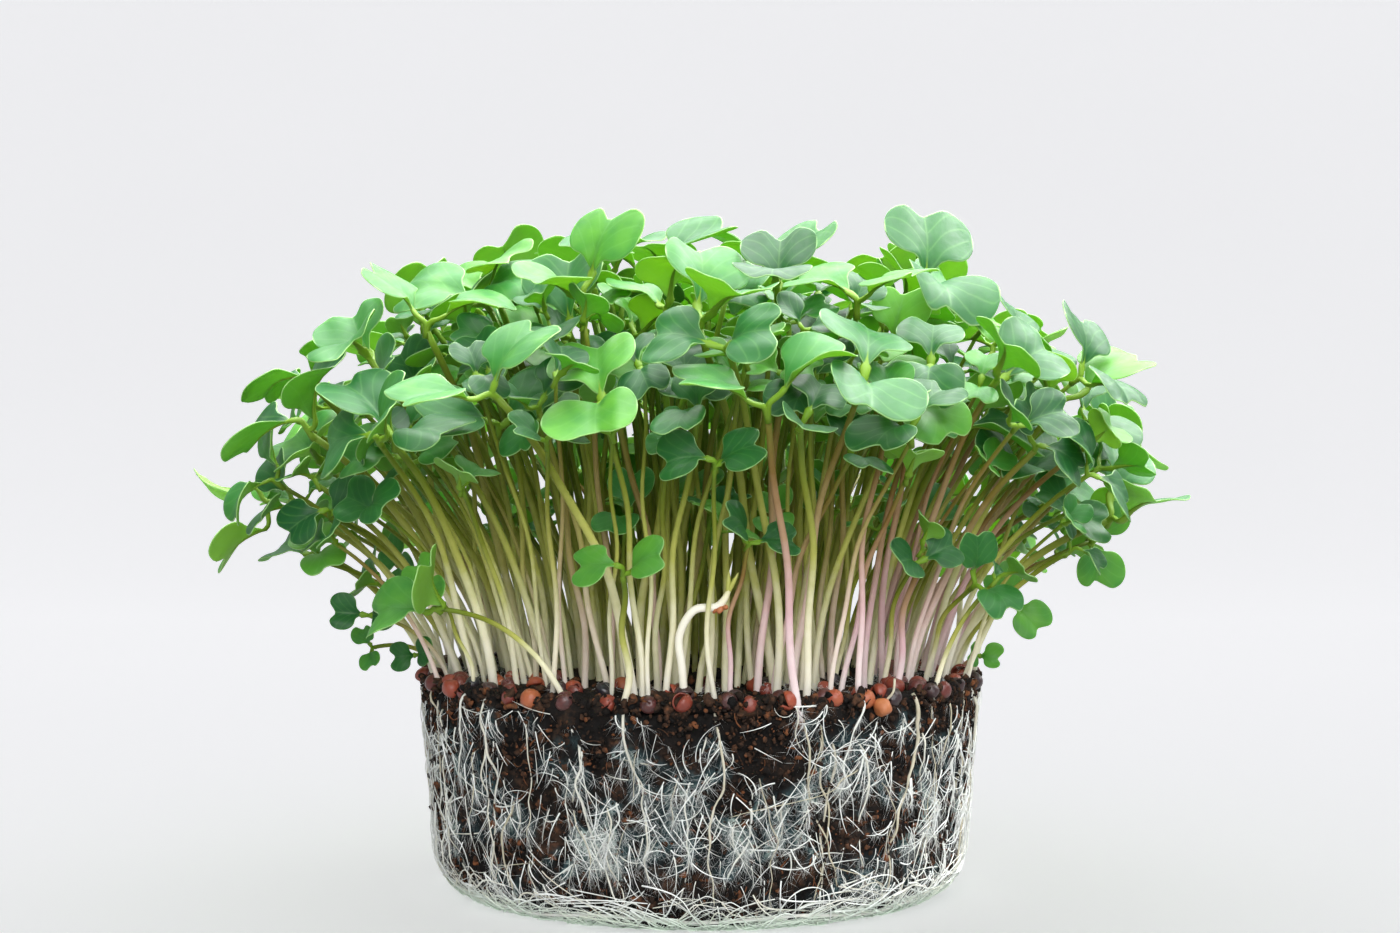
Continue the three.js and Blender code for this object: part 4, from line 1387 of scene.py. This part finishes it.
def veil_map():
    """How crowded the fine roots are, over the plug's side, from 0 to 1."""
    angles = np.concatenate([fine_angles.ravel(), np.repeat(tap_angles, 3)]) % (2 * np.pi)
    heights = np.concatenate([fine_heights.ravel(), np.repeat(tap_heights, 3)])
    grid, _, _ = np.histogram2d(
        angles,
        heights,
        bins=(VEIL_ANGLES, VEIL_HEIGHTS),
        range=((0, 2 * np.pi), (0, PLUG_HEIGHT)),
    )
    for _ in range(4):
        grid = (np.roll(grid, 1, 0) + 2 * grid + np.roll(grid, -1, 0)) / 4
        padded = np.pad(grid, ((0, 0), (1, 1)), mode="edge")
        grid = (padded[:, :-2] + 2 * padded[:, 1:-1] + padded[:, 2:]) / 4
    return np.clip(grid / np.percentile(grid, 97), 0, 1)


veil = veil_map()


def veil_at(points):
    angle = np.arctan2(points[:, 1], points[:, 0]) % (2 * np.pi)
    column = (angle / (2 * np.pi) * VEIL_ANGLES).astype(int) % VEIL_ANGLES
    row = np.clip(points[:, 2] / PLUG_HEIGHT * VEIL_HEIGHTS, 0, VEIL_HEIGHTS - 1).astype(int)
    off_axis = np.hypot(points[:, 0], points[:, 1])
    on_side = np.clip((off_axis - 42) / 3, 0, 1) * (points[:, 2] < PLUG_HEIGHT - 1.5)
    seen = veil[column, row] * (1 - bare_soil(angle, np.clip(points[:, 2], 0.3, 37.5)))
    foot = 0.9 * np.clip((3.4 - points[:, 2]) / 2.2, 0, 1)
    return np.maximum(seen, foot) * on_side


print("veiled share", round(float(veil.mean()), 2))

# %% The soil itself
SOIL_TURNS = 560
RIM_ROUND = 2
RIM_DROP = 2.2
FOOT_ROWS = 14
WALL_ROWS = 52
RIM_ROWS = 5
TOP_ROWS = 44


def soil_profile():
    """Distances from the axis and heights, from the middle of the underside to the middle of the top."""
    foot_turn = np.linspace(0, np.pi / 2, FOOT_ROWS)
    foot_radius = PLUG_FOOT_RADIUS - FOOT_ROUND + FOOT_ROUND * np.sin(foot_turn)
    foot = np.stack([foot_radius, FOOT_ROUND * (1 - np.cos(foot_turn))], axis=1)
    wall_z = np.linspace(FOOT_ROUND + 0.6, PLUG_HEIGHT - RIM_DROP, WALL_ROWS)
    wall = np.stack([plug_radius(wall_z), wall_z], axis=1)
    rim_turn = np.linspace(0, np.pi / 2, RIM_ROWS)
    rim_radius = PLUG_TOP_RADIUS - RIM_DROP + RIM_ROUND * np.cos(rim_turn)
    rim = np.stack([rim_radius, PLUG_HEIGHT - RIM_ROUND + RIM_ROUND * np.sin(rim_turn)], axis=1)
    top = np.stack([np.linspace(47, 0.3, TOP_ROWS), np.full(TOP_ROWS, float(PLUG_HEIGHT))], axis=1)
    under = np.array([[0.3, 0.0], [20, 0.0], [34, 0.0]])
    return np.concatenate([under, foot, wall, rim, top])


def soil_patch():
    profile = soil_profile()
    turn = np.linspace(0, 2 * np.pi, SOIL_TURNS, endpoint=False)
    points = place_at(turn, profile[:, :1], profile[:, 1:])
    widening, climb = np.gradient(profile, axis=0).T
    length = np.hypot(climb, widening)
    outward = place_at(turn, (climb / length)[:, None], (-widening / length)[:, None])
    lumps = 1.3 * (cloud(points, 4.5, 1) - 0.5) + 1.1 * (cloud(points, 1.8, 2) - 0.5)
    lumps = lumps + 0.8 * (cloud(points, 0.9, 3) - 0.5)
    on_top = (points[..., 2] > PLUG_HEIGHT - 1) & (outward[..., 2] > 0.5)
    at_rim = np.clip((points[..., 2] - PLUG_HEIGHT + 3.5) / 3, 0, 1)
    depth = np.where(on_top, 1.3 * lumps - 0.2, np.minimum((1 + 0.8 * at_rim) * lumps - 0.95, 0.0))
    fixed = points[..., 2] < 0.3
    points = points + np.where(fixed, 0, depth)[..., None] * outward
    rows = len(profile)
    place = np.arange(rows * SOIL_TURNS).reshape(rows, SOIL_TURNS)
    turned = np.roll(place, -1, axis=1)
    quads = np.stack([place[:-1], turned[:-1], turned[1:], place[1:]], axis=-1).reshape(-1, 4)
    flat = points.reshape(-1, 3)
    ends = [place[0, ::-1][None], place[-1][None]]
    # The soil's tint is random mottling plus painted shade: darker where the skin is pressed in, lighter on
    # raised lumps.
    tint = 0.36 + 0.7 * (cloud(flat, 2.6, 5) - 0.5) + 0.12 * lumps.ravel()
    return patch(flat, [quads, *ends], 0, tint=tint, across=veil_at(flat), along=flat[:, 2] / PLUG_HEIGHT)


build_piece("soil_body", [soil_patch()], [soil_dark], "soil", "soil_plug")
print("soil made")

# %% [markdown]
# Crumbs are balls made uneven by noise, flattened and turned any way. They lie half sunk in the soil, and
# fewer of them lie where roots crowd it.

# %% Loose crumbs
def ball(steps):
    """Points and faces of a small round lump."""
    made = bpy.data.meshes.new("lump")
    shape = bmesh.new()
    bmesh.ops.create_icosphere(shape, subdivisions=steps, radius=1)
    shape.to_mesh(made)
    shape.free()
    points = np.array([v.co[:] for v in made.vertices])
    faces = np.array([p.vertices[:] for p in made.polygons])
    bpy.data.meshes.remove(made)
    return points, faces


def strewn(places, sizes, flatten, knob, seed, steps):
    """Many lumps of uneven shape, at places, with sizes."""
    points, faces = ball(steps)
    count = len(places)
    shape = np.repeat(points[None], count, axis=0)
    knobs = cloud(shape + 17.0 * np.arange(count)[:, None, None], 0.8, seed)
    shape = shape * (1 + knob * (knobs[..., None] - 0.5))
    shape = shape * rng.uniform(flatten, 1, (count, 1, 3))
    spin = rng.normal(size=(count, 3, 3))
    spin, _ = np.linalg.qr(spin)
    spin = spin * np.sign(np.linalg.det(spin))[:, None, None]
    shape = np.einsum("nij,npj->npi", spin, shape) * sizes[:, None, None] + places[:, None]
    shift = (np.arange(count) * len(points))[:, None, None]
    return shape, [(faces[None] + shift).reshape(-1, 3)]


CRUMB_SETS = {
    "large_side_crumbs": (2300, (1.5, 37.5), 0.4, 1.1, 2),
    "small_side_crumbs": (2450, (1.5, 37.5), 0.25, 0.5, 2),
    "side_grains": (8000, (1.0, 37.8), 0.12, 0.32, 1),
    "upper_side_crumbs": (1000, (29.0, 37.0), 0.3, 0.8, 2),
    "rim_crumbs": (1200, (35.5, 38.4), 0.3, 1.2, 2),
}
TOP_CRUMBS = 1100


def side_places(count, low, high, radii):
    """Places on the side for crumbs, sunk by about their radius, and fewer where roots crowd the soil."""
    angles = rng.uniform(0, 2 * np.pi, 2 * count)
    heights = rng.uniform(low, high, 2 * count)
    kept = rng.random(2 * count) < 0.42 + 0.58 * bare_soil(angles, np.minimum(heights, 37.5))
    angles, heights = angles[kept][:count], heights[kept][:count]
    places, _ = on_plug(angles, heights, -0.3 - radii[: len(angles)] * rng.uniform(0.1, 0.8, len(angles)))
    return places


def top_places(count, radii):
    radius = 48.5 * np.sqrt(rng.random(count))
    angle = rng.uniform(0, 2 * np.pi, count)
    return place_at(angle, radius, PLUG_HEIGHT + radii * rng.uniform(-0.7, 0.5, count))


def crumb_sizes(count, least, most):
    return least + (most - least) * rng.random(count) ** 2.2


def crumb_piece(name, places, sizes, steps):
    points, faces = strewn(places, sizes[: len(places)], 0.35, 1.2, 8, steps)
    tint = np.repeat(np.clip(rng.normal(0.58, 0.22, len(places)), 0, 1.1), points.shape[1])
    build_piece(name, [patch(points, faces, 0, tint=tint)], [soil_dark], "soil")
    print(name, len(places))


for name, (count, span, least, most, steps) in CRUMB_SETS.items():
    sizes = crumb_sizes(count, least, most)
    crumb_piece(name, side_places(count, *span, sizes), sizes, steps)
top_sizes = crumb_sizes(TOP_CRUMBS, 0.3, 1.2)
crumb_piece("top_crumbs", top_places(TOP_CRUMBS, top_sizes), top_sizes, 2)

# %% Rusty fibres in the soil
FIBRES = 420
FIBRE_STEPS = 6
fibre_angle = rng.uniform(0, 2 * np.pi, 4 * FIBRES)
fibre_height = rng.uniform(3, 37, 4 * FIBRES)
fibre_kept = rng.random(4 * FIBRES) < bare_soil(fibre_angle, fibre_height)
fibre_angle, fibre_height = fibre_angle[fibre_kept][:FIBRES, None], fibre_height[fibre_kept][:FIBRES, None]
fibre_share = np.linspace(0, 1, FIBRE_STEPS)[None]
fibre_start = rng.uniform(0, 2 * np.pi, fibre_angle.shape)
fibre_way = fibre_start + rng.normal(0, 0.9, fibre_angle.shape) * fibre_share
fibre_reach = rng.uniform(0.8, 3.2, fibre_angle.shape) * fibre_share
fibre_paths, fibre_out = on_plug(
    fibre_angle + fibre_reach * np.cos(fibre_way) / PLUG_FOOT_RADIUS,
    np.clip(fibre_height + fibre_reach * np.sin(fibre_way), 0.5, 37.6),
    rng.uniform(-0.4, 0.1, fibre_angle.shape) + 0 * fibre_share,
)
fibre_radii = rng.uniform(0.06, 0.16, fibre_angle.shape) * np.linspace(1, 0.5, FIBRE_STEPS)[None]
fibre_tint = rng.uniform(0.5, 1.1, fibre_angle.shape)
fibre_patch = tube_patch(fibre_paths, fibre_radii, FINE_SIDES, fibre_out, tint=fibre_tint)
build_piece("soil_fibres", [fibre_patch], [soil_dark], "soil")
print("fibres", len(fibre_angle))

# %% [markdown]
# ## Seeds and husks
# Round seeds lie where the CAD model has them, round the rim, and many more are scattered among the
# stems. Some have split: a husk is a thin ball with a slice missing.

# %% Seeds and split husks
SEEDS = 44
SEED_RING = 47
SEED_CLEARANCE = 5.2
LOOSE_SEEDS = 90
RIM_SEEDS = 46
SPLIT_SHARE = 0.4
HUSK_COLUMNS = 15
HUSK_ROWS = 11
HUSK_POLE = 0.06
HUSK_INSIDE = 0.86


def seed_places():
    crowns = np.concatenate([home_places, lone_bases])
    places = []
    for seed in range(SEEDS):
        angle = 2 * np.pi / SEEDS * about(seed, 0.3, seed, 20)
        radius = about(SEED_RING, 0.5, seed, 21)
        place = place_at(angle, radius, PLUG_HEIGHT)
        if np.linalg.norm(crowns - place, axis=1).min() > SEED_CLEARANCE:
            places.append(place)
    for seed in range(LOOSE_SEEDS):
        radius = 48.3 * math.sqrt(0.35 + 0.65 * draw(seed, 90))
        angle = 2 * np.pi * draw(seed, 91)
        places.append(place_at(angle, radius, PLUG_HEIGHT + 0.4))
    for seed in range(RIM_SEEDS):
        radius = about(48.9, 0.6, seed, 94)
        angle = 2 * np.pi / RIM_SEEDS * about(seed, 0.45, seed, 95)
        places.append(place_at(angle, radius, PLUG_HEIGHT - 0.9 * draw(seed, 96)))
    places.append(HANGING_SEED)
    return np.array(places)


def husk_patch(place, size, id):
    """A thin ball with a slice missing, turned any way."""
    opening = about(0.4, 0.25, id, 92)
    turn = np.linspace(opening, 2 * np.pi - opening, HUSK_COLUMNS)[None, :]
    rise = np.linspace(HUSK_POLE, np.pi - HUSK_POLE, HUSK_ROWS)[:, None]
    shell = place_at(turn, np.sin(rise), np.cos(rise))
    shell = shell * (1 + 0.12 * (cloud(shell + id, 0.7, 4) - 0.5))[..., None]
    spin, _ = np.linalg.qr(np.array([about(0, 1, id, 93 + i) for i in range(9)]).reshape(3, 3))
    shells = np.concatenate([shell.reshape(-1, 3), HUSK_INSIDE * shell.reshape(-1, 3)])
    points = shells @ spin.T * size + place
    faces = rim_closing_grid(HUSK_ROWS, HUSK_COLUMNS, HUSK_ROWS * HUSK_COLUMNS)
    if np.linalg.det(spin) > 0:
        faces = [kind[:, ::-1] for kind in faces]
    return patch(points, faces, 0, tint=about(0.55, 0.4, id, 104))


seeds = seed_places()
split = np.array([draw(i, 110) < SPLIT_SHARE for i in range(len(seeds))])
split[-1] = False
husks = []
for i in np.flatnonzero(split):
    husks.append(husk_patch(seeds[i], SEED_RADIUS * about(0.95, 0.15, i, 111), i))
whole_sizes = np.array([SEED_RADIUS * about(0.95, 0.12, i, 112) for i in range(int((~split).sum()))])
whole_points, whole_faces = strewn(seeds[~split], whole_sizes, 0.88, 0.4, 9, 3)
whole_shades = [about(0.4, 0.4, i, 113) for i in range(len(whole_sizes) - 1)] + [1.0]
whole_tint = np.repeat(whole_shades, whole_points.shape[1])
whole_seeds = patch(whole_points, whole_faces, 0, tint=whole_tint)
build_piece("seeds_and_husks", husks + [whole_seeds], [husk_brown], "husks")
print("husks", len(husks), "whole seeds", len(whole_sizes))

# %% [markdown]
# ## The late sprout
# One sprout at the front came up late. It has had no light yet, so it is white and bent over, with a
# yellow tip and crumbs of husk at the bend.

# %% Late sprout
SPROUT_STEPS = 40
SPROUT_SIDES = 10
SPROUT_RADIUS = 0.66
SPROUT_SIDE = np.array([0.0, 1.0, 0.0])
SPROUT_YELLOW_FROM = 0.8
SPROUT_HUSKS = np.array([[3.2, -47.5, 14.3], [4.0, -47.6, 14.8], [2.4, -47.2, 14.1]])
SPROUT_HUSK_SIZES = np.array([0.9, 0.75, 0.6])
BUD_ENDS = np.array([[0.9, -0.2, 1.7], [-0.6, 0.1, 1.9]])
BUD_FROM = 36
BUD_STEPS = 8
BUD_SIDES = 8
BUD_YELLOW = 0.34
BUD_RADIUS = 0.42

sprout_path = smooth_path(SPROUT_POINTS, SPROUT_STEPS)
sprout_share = np.linspace(0, 1, SPROUT_STEPS)
sprout_radii = SPROUT_RADIUS * np.minimum(1, 2.6 * (1.02 - sprout_share) ** 0.6)
sprout_yellow = np.maximum(0, 0.32 * (sprout_share - SPROUT_YELLOW_FROM) / (1 - SPROUT_YELLOW_FROM))[None]
sprout_line = (sprout_path[None], sprout_radii[None])
sprout_stem = tube_patch(*sprout_line, SPROUT_SIDES, SPROUT_SIDE, along=sprout_yellow)
crumb_points, crumb_faces = strewn(SPROUT_HUSKS + PLUG_HEIGHT * UP, SPROUT_HUSK_SIZES, 0.4, 0.8, 3, 2)
sprout_crumbs = patch(crumb_points, crumb_faces, 1, tint=1.0)
bud_foot = sprout_path[BUD_FROM]
bud_reach = sprout_path[-1] + BUD_ENDS - bud_foot
bud_paths = bud_foot + np.linspace(0, 1, BUD_STEPS)[None, :, None] * bud_reach[:, None]
bud_radii = np.repeat(BUD_RADIUS * np.sin(np.linspace(0.9, 3.0, BUD_STEPS))[None], 2, axis=0)
sprout_buds = tube_patch(bud_paths, bud_radii, BUD_SIDES, SPROUT_SIDE, along=BUD_YELLOW)
sprout_patches = [sprout_stem, sprout_buds, sprout_crumbs]
build_piece("late_sprout_grown", sprout_patches, [stem_pale, husk_brown], "sprout", "late_sprout")
print("sprout length", round(float(np.linalg.norm(np.diff(sprout_path, axis=0), axis=1).sum()), 1), "mm")

# %% [markdown]
# ## Floor and light
# The plug stands in a white studio: a pale sheet that curves up behind it, a wide soft lamp above and a
# little behind, so that the leaves glow, a weak one in front, a glow from the right, and an even white
# surround. The lamps leave the sheet alone, which has a faint glow of its own.

# %% Floor and backdrop
BACKDROP_GLOW = 0.53
SHEET_HALF = 7.0
SHEET_HEIGHT = 2.6
LEVEL_TO = 0.4
BEND_FROM = 0.6
BEND = 0.9
BEND_STEPS = 24


def backdrop_finish():
    finish, tree, surface, _ = new_finish("backdrop")
    shade = ramp(tree, noise(tree, 3, 2), [(0.3, (0.84, 0.84, 0.85)), (0.7, (0.85, 0.85, 0.86))])
    feed(tree, surface.inputs["Base Color"], shade)
    feed(tree, surface.inputs["Roughness"], 0.9)
    feed(tree, surface.inputs["Emission Color"], shade)
    feed(tree, surface.inputs["Emission Strength"], BACKDROP_GLOW)
    return finish


def backdrop():
    curve = np.linspace(0, np.pi / 2, BEND_STEPS)
    rows = [(-SHEET_HALF, 0.0), (LEVEL_TO, 0.0)]
    rows += [(BEND_FROM + BEND * math.sin(t), BEND * (1 - math.cos(t))) for t in curve]
    rows.append((BEND_FROM + BEND, SHEET_HEIGHT))
    points = np.array([(x, y, z) for y, z in rows for x in (-SHEET_HALF, SHEET_HALF)])
    mesh = bpy.data.meshes.new("backdrop")
    faces = [(2 * i, 2 * i + 1, 2 * i + 3, 2 * i + 2) for i in range(len(rows) - 1)]
    mesh.from_pydata(points.tolist(), [], faces)
    mesh.shade_smooth()
    mesh.materials.append(backdrop_finish())
    sheet = bpy.data.objects.new("backdrop", mesh)
    bpy.context.collection.objects.link(sheet)
    return sheet


sheet = backdrop()
print("backdrop made")

# %% Lights
LAMPS = {
    "overhead": ((0.15, 0.2, 1.0), (0, 0, 0.08), 1.8, 80),
    "front_fill": ((0.1, -0.95, 0.5), (0, 0, 0.05), 0.8, 12),
    "side_glow": ((0.75, 0.3, 0.8), (0, 0, 0.1), 0.9, 14),
}
SURROUND_COLOUR = (0.96, 0.97, 1.0, 1.0)
SURROUND_STRENGTH = 0.35

no_light = bpy.data.collections.new("not_lit_by_lamps")
no_light.objects.link(sheet)
no_light.collection_objects[0].light_linking.link_state = "EXCLUDE"


def soft_light(name, place, target, size, power):
    data = bpy.data.lights.new(name, "AREA")
    data.shape = "DISK"
    data.size = size
    data.energy = power
    lamp = bpy.data.objects.new(name, data)
    bpy.context.collection.objects.link(lamp)
    lamp.location = place
    aim = Vector(target) - Vector(place)
    lamp.rotation_euler = aim.to_track_quat("-Z", "Y").to_euler()
    lamp.light_linking.receiver_collection = no_light
    return lamp


for name, values in LAMPS.items():
    soft_light(name, *values)
world = bpy.data.worlds.new("studio")
world.use_nodes = True
surround = next(n for n in world.node_tree.nodes if n.type == "BACKGROUND")
surround.inputs["Color"].default_value = SURROUND_COLOUR
surround.inputs["Strength"].default_value = SURROUND_STRENGTH
bpy.context.scene.world = world
bpy.context.scene.view_settings.view_transform = "Standard"
print("lamps", len(LAMPS))
